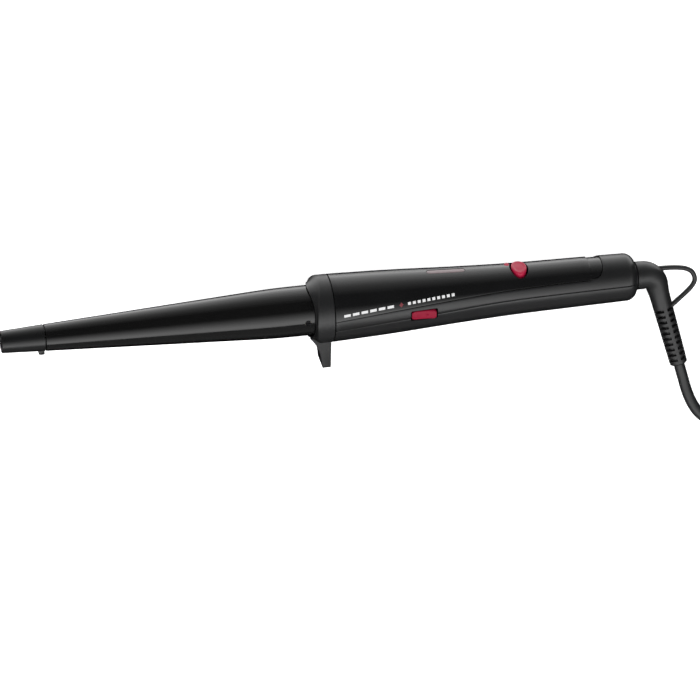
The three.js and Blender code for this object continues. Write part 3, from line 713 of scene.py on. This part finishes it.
def pin_sleeve(node, y):
    """The black sleeve on the half of a pin by the plug."""
    start, end, bore = NOSE_END_X + GAP, PLUG_FACE_X + 4.4, 1.3
    wall = [(start, bore), (start, PIN_R - 0.2), (start + 0.2, PIN_R), (end, PIN_R), (end, bore)]
    sleeve = turned(wall, 48)
    bmesh.ops.translate(sleeve, verts=sleeve.verts, vec=(0, y, PLUG_Z))
    return piece(node + "_black", sleeve, SLEEVE_BLACK, "cord_side", [node], TABLE)


def plug_pins():
    made = []
    for name, y in zip(("live", "neutral"), reversed(PIN_Y)):
        made.append(pin_metal("plug_pin_" + name, y))
        made.append(pin_sleeve("plug_sleeve_" + name, y))
    return made


def plug_relief():
    """A ringed, tapered sleeve on the cord behind the plug."""
    start = PLUG_BACK_X + GAP
    end = PLUG_BACK_X + RELIEF_LENGTH
    profile = [(start, CORD_R + 0.05)]
    for x in stations(start, end, 96):
        r = 5.6 + (3.7 - 5.6) * (x - start) / (end - start)
        ring = (x - start - 3) % 3.3
        deep = 0.0 if x < start + 3 or x > end - 2 else 1.0 - blend_in(abs(ring - 1.65), 0.5, 0.85)
        profile.append((x, r - 1.0 * deep))
    profile.append((end, CORD_R + 0.05))
    bm = turned(profile, 48)
    bmesh.ops.translate(bm, verts=bm.verts, vec=(0, PLUG_Y, PLUG_Z))
    return piece("plug_relief_rings", bm, PLUG_PLASTIC, "cord_side", ["plug_relief"], TABLE)


# ---------------------------------------------------------------- the handle's shells, cover and window
def handle_radius(x):
    return through(HANDLE_STATIONS, x)


def handle_point(x, turn, inset):
    """A place on the handle, turn radians round from the rocker's side towards the top."""
    r = handle_radius(x) - inset
    return Vector((x, -r * math.cos(turn), r * math.sin(turn)))


def end_point(part, turn, inset):
    """A place on the handle's rounded end: part runs from 0 at the corner's start to 1 at the neck."""
    r = HANDLE_CORNER - inset
    centre = handle_radius(HANDLE_CORNER_X) - HANDLE_CORNER
    a = part * math.acos((NECK_R + GAP + 0.05 - centre) / r)
    across = centre + r * math.cos(a)
    return Vector((HANDLE_CORNER_X + r * math.sin(a), -across * math.cos(turn), across * math.sin(turn)))


def turn_at(line, x, shift):
    """How far round from the rocker's side a line in side view is at x, raised by shift."""
    return math.asin((through(line, x) + shift) / handle_radius(x))


def cover_end(turn, margin):
    """Where the cover ends, at a turn round the handle: a tongue with rounded corners."""
    z = 12.3 * math.sin(turn)
    t = math.sqrt(min(1.0, max(0.0, (z - COVER_EDGE[-1][1]) / COVER_CORNER)))
    return COVER_END_X + margin - COVER_CORNER * (1 - t) ** 2


def cover_turn(across, x, margin):
    """Turn of a point across the cover, from 0 at its edge on the rocker's side to 1 at the other."""
    edge = turn_at(COVER_EDGE, x, -margin)
    return edge + (math.pi - 2 * edge) * across


def upper_shell():
    """The shell's upper half, with a recess that the cover lies in."""
    recess = COVER_THICK + GAP
    step = 0.012  # of the way across, which the recess's wall takes

    def place(u, v, inner):
        under = min(max(v - 1, 0.0), 1.0)
        low_end = cover_turn(under, COVER_END_X - 5, GAP)
        end = cover_end(low_end, GAP)
        if u <= 1:
            x = HANDLE_START_X + (end - HANDLE_START_X) * u
        else:
            x = end + (HANDLE_CORNER_X - end) * min(u - 1, 1.0)
        seam = turn_at(SEAM, x, 0.15)
        edge = turn_at(COVER_EDGE, x, -GAP)
        if v < 1:
            turn = seam + (edge - seam) * v
        elif v > 2:
            turn = math.pi - edge + (edge - seam) * (v - 2)
        else:
            turn = cover_turn(under, x, GAP)
        if inner:
            inset = HANDLE_WALL
        else:
            inset = recess if u < 1 and 1 < v < 2 else 0.0
        if u > 2:
            return end_point(u - 2, turn, inset)
        return handle_point(x, turn, inset)

    us = [*stations(0, 1 - step / 6, 44), *stations(1, 2, 8), *stations(2, 3, 10)[1:]]
    vs = [*stations(0, 1, 5), 1 + step, *stations(1 + step, 2 - step, 28)[1:], *stations(2, 3, 5)]
    shell = slab(us, vs, place)
    soften(shell, 0.18, 42, 2)
    shell = cut(shell, rocker_window(), button_opening(0.45), lens_opening(0.5))
    return piece("shell_upper_half", shell, SHELL_PLASTIC, "wand", ["upper_shell"])


def lower_shell():
    """The shell's lower half, with a hole and a cup for each of its two screws."""
    def place(u, v, inner):
        x = HANDLE_START_X + (HANDLE_CORNER_X - HANDLE_START_X) * min(u, 1.0)
        seam = turn_at(SEAM, x, -0.15)
        turn = seam - (math.pi + 2 * seam) * v
        inset = HANDLE_WALL if inner else 0.0
        return end_point(u - 1, turn, inset) if u > 1 else handle_point(x, turn, inset)

    shell = slab([*stations(0, 1, 44), *stations(1, 2, 10)[1:]], stations(0, 1, 48), place)
    soften(shell, 0.18, 42, 2)
    holes = [rod((x, 0, -20), (x, 0, 3.5 - handle_radius(x)), 2.7) for x in SCREW_STATIONS_X]
    shell = joined(cut(shell, rocker_window(), *holes), *(screw_cup(x) for x in SCREW_STATIONS_X))
    return piece("shell_lower_half", shell, SHELL_PLASTIC, "wand", ["lower_shell"])


def screw_cup(x):
    """The ring inside the lower shell that a screw's head bears on."""
    cup = turned([(0, 1.6), (0, 3.4), (1.6, 3.4), (1.6, 1.6)], 32)
    cup.transform(Matrix.Translation((x, 0, 3 - handle_radius(x))) @ Matrix.Rotation(-math.pi / 2, 4, "Y"))
    return cup


LEDGE_X, LEDGE_DEPTH = 131, 0.55


def top_cover():
    """The glossy cover: let into the shell, with a shallow sunk ledge at its cord end."""
    def place(u, v, inner):
        end = cover_end(cover_turn(v, COVER_END_X - 5, 0), 0)
        ledge = min(LEDGE_X, end - 0.4)
        if u <= 1:
            x = HANDLE_START_X + (ledge - HANDLE_START_X) * u
        else:
            x = ledge + (end - ledge) * (u - 1)
        if inner:
            inset = COVER_THICK
        else:
            inset = LEDGE_DEPTH * blend_in(x, LEDGE_X, LEDGE_X + 0.35)
        return handle_point(x, cover_turn(v, x, 0), inset)

    us = [*stations(0, 1, 44), 1.03, 1.06, *stations(1.1, 2, 6)]
    cover = slab(us, stations(0, 1, 44), place)
    soften(cover, 0.25, 42, 3)
    cover = cut(cover, button_opening(0), lens_opening(0.25))
    return piece("cover_gloss_top", cover, COVER_GLOSS, "wand", ["top_cover"])


def at_button(bm):
    """Turns a form drawn about +Z to stand on the handle at the button."""
    bm.transform(Matrix.Translation((BUTTON_X, 0, 0)) @ Matrix.Rotation(BUTTON_TURN, 4, "X"))
    return bm


def button_opening(grow):
    """The button's hole through the cover, or a wider one through the shell under it."""
    return at_button(oval(4.65 + grow, 6.75 + grow, 5, 20))


def rocker_window():
    half_x, half_z = 6.9, 2.8
    low = (ROCKER_X - half_x, -20, ROCKER_Z - half_z)
    high = (ROCKER_X + half_x, -10, ROCKER_Z + half_z)
    return soften(block(low, high), 0.7, 30, 3)


def slot_half_width(x, grow):
    """Half the width of the lens's round-ended slot at x."""
    past = abs(x - LENS_X) - (LENS_HALF_LENGTH - LENS_HALF_WIDTH)
    r = LENS_HALF_WIDTH + grow
    return r if past <= 0 else math.sqrt(max(r * r - past * past, 0.0004))


def lens_stations(grow):
    bend = LENS_HALF_LENGTH - LENS_HALF_WIDTH
    r = LENS_HALF_WIDTH + grow
    ends = [bend + r * math.sin(a) for a in stations(0, math.pi / 2, 6)]
    return [*(LENS_X - e for e in reversed(ends)), *stations(LENS_X - bend, LENS_X + bend, 8)[1:-1],
            *(LENS_X + e for e in ends)]


def lens_opening(grow):
    def place(x, v, inner):
        return Vector((x, v * slot_half_width(x, grow), 9 if inner else 20))

    return slab(lens_stations(grow), [-1, 0, 1], place)


def indicator_lens():
    def place(x, v, inner):
        y = v * slot_half_width(x, 0)
        top = math.sqrt((handle_radius(x) - 0.12) ** 2 - y * y)
        return Vector((x, y, top - (3 if inner else 0)))

    bm = soften(slab(lens_stations(0), stations(-1, 1, 6), place), 0.12, 50, 2)
    return piece("indicator_window", bm, LENS, "wand", ["indicator_lens"])


# ---------------------------------------------------------------- controls
def power_button():
    """An oval button, dished in the middle. Its rings hold the part of its half sizes, and the drop."""
    half_x, half_y = 3.8, 5.4
    crown = handle_radius(BUTTON_X) + 0.8
    roundness = 0.6  # of its top across, as a part of the handle's own
    rings = [(0.0, -0.42), (0.3, -0.4), (0.55, -0.32), (0.68, -0.2), (0.76, -0.05), (0.82, 0.0), (0.88, 0.0),
             (0.93, -0.06), (0.97, -0.2), (0.995, -0.42), (1.0, -0.7), (1.0, -1.6), (1.0, -3.4)]

    def place(k, a):
        part, drop = rings[round(k)]
        x, y = half_x * part * math.cos(a), half_y * part * math.sin(a)
        top = crown - roundness * (crown - math.sqrt(crown**2 - y * y))
        return Vector((x, y, top + drop))

    cap = grid(range(len(rings)), stations(0, 2 * math.pi, 64), place)
    stem = rod((0, 0, 6.1), (0, 0, 9), 1.5)
    button = at_button(joined(closed(cap), stem))
    return piece("button_cap", button, RED, "power_button", ["power_button"])


def button_pointer():
    """A small red dot let into the cover beside the button, on the tip's side."""
    x, y = -5.3, 3.6
    top = math.sqrt(handle_radius(BUTTON_X) ** 2 - y * y)
    dot = soften(oval(1.2, 1.6, top - 1, top + 0.45, 32), 0.3, 40, 3)
    dot.transform(Matrix.Translation((x, y, 0)))
    return piece("button_pointer", at_button(dot), RED, "wand")


def rocker_key():
    """The heat rocker, a shallow saddle with a raised dot, tipped so that its front end is in."""
    half_x, half_z, depth, back = 6.15, 2.25, 15.9, 11.9

    def place(u, v, inner):
        hollow = 0.5 * (1 - (u / half_x) ** 2)
        crown = 0.12 * (v / half_z) ** 2
        height = v * (1 - 0.35 * abs(u / half_x) ** 9)  # its corners are rounded
        return Vector((u, -back if inner else -(depth - hollow - crown), ROCKER_Z + height))

    key = slab(stations(-half_x, half_x, 28), stations(-half_z, half_z, 6), place)
    soften(key, 0.3, 50, 3)
    dot = bmesh.new()
    bmesh.ops.create_uvsphere(dot, u_segments=20, v_segments=12, radius=0.55)
    dot.transform(Matrix.Translation((1.6, 0.1 - depth + 0.28, ROCKER_Z)) @ Matrix.Diagonal((1, 0.5, 1, 1)))
    both = joined(key, dot)
    to_pivot = Matrix.Translation((ROCKER_X, ROCKER_PIVOT_Y, 0))
    tip = Matrix.Rotation(-ROCKER_TILT, 4, "Z")
    both.transform(to_pivot @ tip @ Matrix.Translation((0, -ROCKER_PIVOT_Y, 0)))
    # its crimson is darkened as painted shade
    return piece("rocker_key_red", both, SHADED_ROCKER_RED, "rocker_key", ["rocker_key"])


TRIM_RISE, DASH_HALF_HEIGHT = 2.4, 0.625
DIAMOND_X, DIAMOND_HALF = 33.3, 0.55


def trim_point(x, height, inner):
    """A place on the printed trim, height above its middle line, just proud of the handle or just under."""
    turn = math.asin((through(COVER_EDGE, x) + TRIM_RISE + height) / handle_radius(x))
    return handle_point(x, turn, 0.02 if inner else -0.05)


def dash(start, length):
    def place(u, v, inner):
        return trim_point(start + u, v, inner)

    return slab(stations(0, length, 6), stations(-DASH_HALF_HEIGHT, DASH_HALF_HEIGHT, 2), place)


def side_trim():
    """A plain printed trim along the cover's edge: long dashes, a small diamond, then short dashes."""
    long_dashes = [dash(4.2 + 4.4 * k, 3.3) for k in range(6)]
    short_dashes = [dash(36.7 + 2.5 * k, 1.5) for k in range(10)]
    piece("trim_dashes", joined(*long_dashes, *short_dashes), WHITE_PRINT, "wand")

    def place(u, v, inner):
        return trim_point(DIAMOND_X + u + v, u - v, inner)

    across = stations(-DIAMOND_HALF, DIAMOND_HALF, 3)
    piece("trim_diamond", slab(across, across, place), RED_PRINT, "wand")


# ---------------------------------------------------------------- barrel, tip, collar
def barrel():
    """The coated tube, its cone easing smoothly into the straight part."""
    rear, front = BARREL_R - BARREL_WALL, BARREL_FRONT_R - BARREL_WALL
    profile = [(BARREL_FRONT_X, BARREL_FRONT_R - 0.25), (BARREL_FRONT_X + 0.25, BARREL_FRONT_R)]
    slope = (BARREL_R - BARREL_FRONT_R) / (CONE_END_X - BARREL_FRONT_X)
    for x in stations(BARREL_FRONT_X + EASE, CONE_END_X - EASE, 12):
        profile.append((x, BARREL_FRONT_R + slope * (x - BARREL_FRONT_X)))
    for x in stations(CONE_END_X - EASE, CONE_END_X + EASE, 6)[1:-1]:
        profile.append((x, BARREL_R - slope * (CONE_END_X + EASE - x) ** 2 / (4 * EASE)))
    profile += [(CONE_END_X + EASE, BARREL_R), (BARREL_END_X, BARREL_R), (BARREL_END_X, rear),
                (CONE_END_X, rear), (BARREL_FRONT_X, front)]
    hole = rod((BARREL_SCREW_X, -15, 0), (BARREL_SCREW_X, -9, 0), 1.6, 40)
    tube = cut(turned(profile, 128), hole)
    return piece("barrel_coated", tube, CERAMIC, "wand", ["barrel"])


def barrel_screw():
    """The small cross-head screw that holds the barrel, on the rocker's side."""
    head = soften(rod((BARREL_SCREW_X, -12.35, 0), (BARREL_SCREW_X, -10.6, 0), 1.3, 32), 0.2, 40)
    for turn in (0, math.pi / 2):
        slot = block((-0.9, -1, -0.2), (0.9, 0.7, 0.2))
        slot.transform(Matrix.Translation((BARREL_SCREW_X, -12.4, 0)) @ Matrix.Rotation(turn, 4, "Y"))
        head = cut(head, slot)
    shank = rod((BARREL_SCREW_X, -10.7, 0), (BARREL_SCREW_X, -7, 0), 0.9, 24)
    screw = joined(head, shank)
    return piece("barrel_screw_head", screw, BLACK_STEEL, "wand", ["barrel_screw"])


def cool_tip():
    """The heatproof tip: a dished end with a rounded rim, a spigot in the barrel, and its small rest peg."""
    end = BARREL_FRONT_X - GAP
    spigot = BARREL_FRONT_R - BARREL_WALL - GAP
    rim = 0.6
    profile = [(TIP_X + 0.9, 0), (TIP_X + 0.9, 4.1), (TIP_X + 0.1, 4.5)]
    for a in stations(0, math.pi / 2, 5):
        profile.append((TIP_X + rim - rim * math.cos(a), TIP_R - rim + rim * math.sin(a)))
    profile += [(end - 0.25, BARREL_FRONT_R - 0.02), (end, BARREL_FRONT_R - 0.25), (end, spigot),
                (end + 9, spigot + 0.3), (end + 9, 0)]
    tip = turned(profile, 96, hollow=False)
    outline = [(end - 3.1, -6), (end - 3.1, -8.2), (end - 2.9, -8.7), (end - 2.3, -9), (end - 0.7, -9),
               (end - 0.2, -8.8), (end, -8.3), (end, -6)]
    peg = soften(plate([(x, -1.6, z) for x, z in outline], (0, 3.2, 0)), 0.25, 40)
    return piece("cool_tip_cap", joined(tip, peg), TIP_PLASTIC, "wand", ["cool_tip"])


def saddle(x, y, z):
    """How far the collar's mouth is drawn along X above and below: its lip forward, its chamfer back."""
    if x > COLLAR_EDGE_X + 1:
        return 0.0
    lift = z * z / max(y * y + z * z, 1e-6)
    part = (math.hypot(y, z) - COLLAR_MOUTH_R - 0.25) / (COLLAR_R - COLLAR_MOUTH_R - 0.4)
    part = min(1.0, max(0.0, part))
    return 3 * lift * part - 2.2 * lift * lift * (1 - part)


def fin():
    """The fin: a curved front, a straight back, and the foot's corners rounded as seen along the wand."""
    curve = [(-4.7, FIN_FOOT_Z + 0.6), (-5.2, -19.5), (-10.6, -13.6)]
    front = []
    for t in stations(0, 1, 12):
        x = (1 - t) ** 2 * curve[0][0] + 2 * t * (1 - t) * curve[1][0] + t * t * curve[2][0]
        z = (1 - t) ** 2 * curve[0][1] + 2 * t * (1 - t) * curve[1][1] + t * t * curve[2][1]
        front.append((x, z))
    back = [(-0.2, -13.6), (-0.2, -17.6), (-0.4, FIN_FOOT_Z + 0.4)]
    foot = [(-0.8, FIN_FOOT_Z), (-4.2, FIN_FOOT_Z)]
    outline = [*back, *foot, *front]
    half = FIN_WIDTH / 2
    section = [(half, 0), (-half, 0)]
    for side, start in ((-1, 180), (1, 270)):
        for a in stations(math.radians(start), math.radians(start + 90), 6):
            y = side * (half - FIN_CORNER) + FIN_CORNER * math.cos(a)
            section.append((y, FIN_FOOT_Z + FIN_CORNER + FIN_CORNER * math.sin(a)))
    bar = plate([(-20, y, z) for y, z in section], (25, 0, 0))
    form = combine(plate([(x, -half - 1, z) for x, z in outline], (0, FIN_WIDTH + 2, 0)), bar, "INTERSECT")
    return soften(form, 0.4, 40, 3)


def stand_collar():
    """The collar and its fin in one moulding: a saddle-shaped mouth, and a spigot inside the handle."""
    end = -0.15
    profile = [
        (COLLAR_LIP_X, COLLAR_MOUTH_R + 0.35),
        (COLLAR_LIP_X + 0.1, COLLAR_MOUTH_R + 0.75),
        (COLLAR_EDGE_X - 0.1, COLLAR_R - 0.45),
        (COLLAR_EDGE_X + 0.1, COLLAR_R - 0.2),
        (COLLAR_EDGE_X + 0.35, COLLAR_R - 0.06),
        (COLLAR_EDGE_X + 0.8, COLLAR_R),
        (end - 0.3, COLLAR_R),
        (end, COLLAR_R - 0.3),
        (end, SPIGOT_R),
        (SPIGOT_END_X, SPIGOT_R),
        (SPIGOT_END_X, BARREL_R + GAP),
        (-2, BARREL_R + GAP),
        (-2, COLLAR_MOUTH_R),
        (COLLAR_LIP_X + 0.1, COLLAR_MOUTH_R),
    ]
    ring = turned(profile, 128)
    for vert in ring.verts:
        vert.co.x += saddle(*vert.co)
    both = combine(ring, fin(), "UNION")
    return piece("collar_with_fin", both, COLLAR_PLASTIC, "wand", ["stand_collar"], crease=38)


def shell_screw(name, x):
    """A countersunk cross-head screw in its cup on the underside."""
    top = 2.7 - handle_radius(x)
    head = soften(rod((x, 0, top - 1.8), (x, 0, top - 0.2), 2.3, 40), 0.35, 40, 3)
    for turn in (0, math.pi / 2):
        slot = block((-1.3, -0.28, -1), (1.3, 0.28, 0.9))
        slot.transform(Matrix.Translation((x, 0, top - 1.8)) @ Matrix.Rotation(turn, 4, "Z"))
        head = cut(head, slot)
    shank = rod((x, 0, top - 0.3), (x, 0, 2), 1.25, 24)
    return piece(name + "_head", joined(head, shank), STEEL, "wand", [name])


# ---------------------------------------------------------------- swivel, elbow, boot and loop
def swivel_neck():
    """The hollow spindle in the handle, with its flange, and the neck that shows behind the handle."""
    profile = [(118, 1.6), (118, 3.6), (137, 3.6), (138, SPINDLE_R), (145, SPINDLE_R), (145, 7.8), (147, 7.8),
               (147, SPINDLE_R), (152.2, SPINDLE_R), (152.2, NECK_R), (NECK_END_X - 0.3, NECK_R),
               (NECK_END_X, NECK_R - 0.3), (NECK_END_X, 2.9), (140, 2.9), (139, 1.6)]
    neck = turned(profile, 96)
    return piece("swivel_neck", neck, SHELL_PLASTIC, "cord_side", ["swivel_spindle"])


ELBOW_START_X = NECK_END_X + GAP
ELBOW_REACH = ELBOW_BEND_R * math.tan(BOOT_ANGLE / 2)
LEAD_IN = ELBOW_CORNER_X - ELBOW_REACH - ELBOW_START_X
BEND_LENGTH = ELBOW_BEND_R * BOOT_ANGLE
ELBOW_LENGTH = LEAD_IN + BEND_LENGTH + BOOT_LENGTH - ELBOW_REACH
ELBOW_NORMAL = Vector((0, math.cos(BOOT_LEAN), -math.sin(BOOT_LEAN)))


def in_elbow(x, t):
    """A place in the elbow's plane: x along the wand, and t away from its axis."""
    return Vector((x, -t * math.sin(BOOT_LEAN), -t * math.cos(BOOT_LEAN)))


def elbow_station(distance):
    """The centre of the elbow or boot at a distance along it, and its direction's turn from the axis."""
    start = ELBOW_START_X + LEAD_IN
    turn = min(max(distance - LEAD_IN, 0) / ELBOW_BEND_R, BOOT_ANGLE)
    x = start + ELBOW_BEND_R * math.sin(turn)
    t = ELBOW_BEND_R * (1 - math.cos(turn))
    if distance < LEAD_IN:
        x = ELBOW_START_X + distance
    past = max(distance - LEAD_IN - BEND_LENGTH, 0)
    return x + past * math.cos(turn), t + past * math.sin(turn), turn


def boot_radius(distance):
    part = distance / ELBOW_LENGTH
    neck = blend_in(part, 0.06, 0.36)
    return NECK_R + (BOOT_START_R - NECK_R) * neck + (BOOT_END_R - BOOT_START_R) * part


SLOT_ROWS, SLOT_PITCH, SLOT_WIDTH, SLOT_FLOOR_R = 10, 3.02, 1.7, 3.05
SLOT_HALF_ANGLE = math.radians(35)
LAST_SLOT = ELBOW_LENGTH - 3.3


def slot_rings():
    """Distances along the boot up to its rim, each with whether it is in a row of slots."""
    slope = 0.1  # of a slot's walls, in millimetres
    half = SLOT_WIDTH / 2
    first = LAST_SLOT - SLOT_PITCH * (SLOT_ROWS - 1)
    rings = [(d, False) for d in stations(0, LEAD_IN + BEND_LENGTH, 22)]
    rings += [(d, False) for d in stations(LEAD_IN + BEND_LENGTH, first - SLOT_PITCH / 2, 6)[1:]]
    for row in range(SLOT_ROWS):
        middle = first + SLOT_PITCH * row
        rings.append((middle - half, False))
        rings += [(middle - half + slope, True), (middle, True), (middle + half - slope, True)]
        rings.append((middle + half, False))
    rings.append((ELBOW_LENGTH - 1.4, False))
    return rings


def slot_turns():
    """Turns round the boot, each with whether it is between two ribs, where the slots are."""
    edge, lip = SLOT_HALF_ANGLE, math.radians(1.4)
    turns = []
    for quarter in range(4):
        middle = math.pi / 4 + quarter * math.pi / 2
        turns += [(middle - edge, False), (middle - edge + lip, True)]
        turns += [(a, True) for a in stations(middle - edge + lip, middle + edge - lip, 8)[1:]]
        turns.append((middle + edge, False))
        turns += [(a, False) for a in stations(middle + edge, middle + math.pi / 2 - edge, 5)[1:-1]]
    turns.append((turns[0][0] + 2 * math.pi, False))
    return turns


def strain_relief():
    """The bent boot: four long ribs with rows of slots between them, so that it can flex."""
    rings, turns = slot_rings(), slot_turns()
    end = ELBOW_LENGTH
    rim = [(end - 0.7, 4.42), (end - 0.35, 4.3), (end - 0.1, 4.05), (end, 3.6), (end, 3.05),
           (end - 0.3, 2.95), (end - 4, 2.9)]

    def place(u, v):
        a, slotted_turn = turns[round(v)]
        k = round(u)
        if k < len(rings):
            distance, slotted_ring = rings[k]
            r = SLOT_FLOOR_R if slotted_ring and slotted_turn else boot_radius(distance)
        else:
            distance, r = rim[k - len(rings)]
        x, t, bend = elbow_station(distance)
        inward = in_elbow(-math.sin(bend), math.cos(bend))
        return in_elbow(x, t) + (inward * math.cos(a) + ELBOW_NORMAL * math.sin(a)) * r

    boot = closed(grid(range(len(rings) + len(rim)), range(len(turns)), place))
    return piece("boot_slotted", boot, BOOT_RUBBER, "cord_side", ["strain_relief"], crease=40)


LOOP_R = 1.25
LOOP_ROUTE = [  # in the elbow's plane
    (165.5, -2.6), (170, -2.6), (176, -2.3), (181.3, -1.4), (184.9, 0.5), (186.5, 3.6), (186.2, 6.4),
    (184, 9.3), (179.8, 12.9), (175.2, 16.5), (171.2, 19.4),
]


def hanging_loop():
    """A thin round loop, both of whose ends run into the boot."""
    line = route_points([in_elbow(x, t) for x, t in LOOP_ROUTE], 6)
    last = len(line) - 1

    def place(u, v):
        k = round(u)
        ahead = (line[min(k + 1, last)] - line[max(k - 1, 0)]).normalized()
        across = ELBOW_NORMAL.cross(ahead)
        return line[k] + (across * math.cos(v) + ELBOW_NORMAL * math.sin(v)) * LOOP_R

    loop = grid(range(len(line)), stations(0, 2 * math.pi, 16), place)
    return piece("hanging_loop_cord", closed(loop), BOOT_RUBBER, "cord_side", ["hanging_loop"])


# ---------------------------------------------------------------- the parts inside keep their shapes
INNER_FINISHES = {
    "barrel_bush": NYLON,
    "heater_block_upper": ALUMINIUM,
    "heater_block_lower": ALUMINIUM,
    "ptc_element": NYLON,
    "heater_insulation": FILM,
    "thermistor": NYLON,
    "thermal_fuse": STEEL,
    "lead_live": SILICONE,
    "lead_neutral": SILICONE,
    "button_switch": INNER_BLACK,
    "rocker_housing": INNER_BLACK,
    "indicator_led": NYLON,
    "circuit_board": BOARD,
    "triac": INNER_BLACK,
    "capacitor": BOARD,
    "swivel_housing": NYLON,
    "brush_live": BRASS,
    "brush_neutral": BRASS,
    "contact_ring_live": BRASS,
    "contact_ring_neutral": BRASS,
}


def finish_inner_parts():
    for name, finish in INNER_FINISHES.items():
        mesh = frame["nodes"][name].data
        mesh.materials.clear()
        mesh.materials.append(finish)


# ---------------------------------------------------------------- the floor, and everything in its place
def add_floor():
    """A plain pale floor. Gloss doesn't see it, as when dark cards stand round the object."""
    bm = bmesh.new()
    bmesh.ops.create_grid(bm, x_segments=8, y_segments=8, size=8)
    mesh = bpy.data.meshes.new("floor")
    bm.to_mesh(mesh)
    bm.free()
    made = Finish("pale floor")
    made.colour(made.mix(made.noise(3, 2), grey(0.93), grey(0.95)))
    made.roughness(0.9)
    made.surface.inputs["Emission Strength"].default_value = 0.4
    made.surface.inputs["Emission Color"].default_value = (1, 1, 1, 1)
    mesh.materials.append(made.material)
    floor = put_in_scene("floor", mesh)
    floor.visible_glossy = False


add_camera()
add_strips()
add_sun()
add_world()
add_floor()
cord, cord_exit = mains_cord()
on_the_cord = [hank_tie(), plug_body(), *plug_pins(), plug_relief()]
barrel()
barrel_screw()
cool_tip()
stand_collar()
upper_shell()
lower_shell()
top_cover()
indicator_lens()
power_button()
button_pointer()
rocker_key()
side_trim()
for name, x in zip(("shell_screw_front", "shell_screw_rear"), SCREW_STATIONS_X):
    shell_screw(name, x)
swivel_neck()
strain_relief()
hanging_loop()
finish_inner_parts()
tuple(cord_exit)
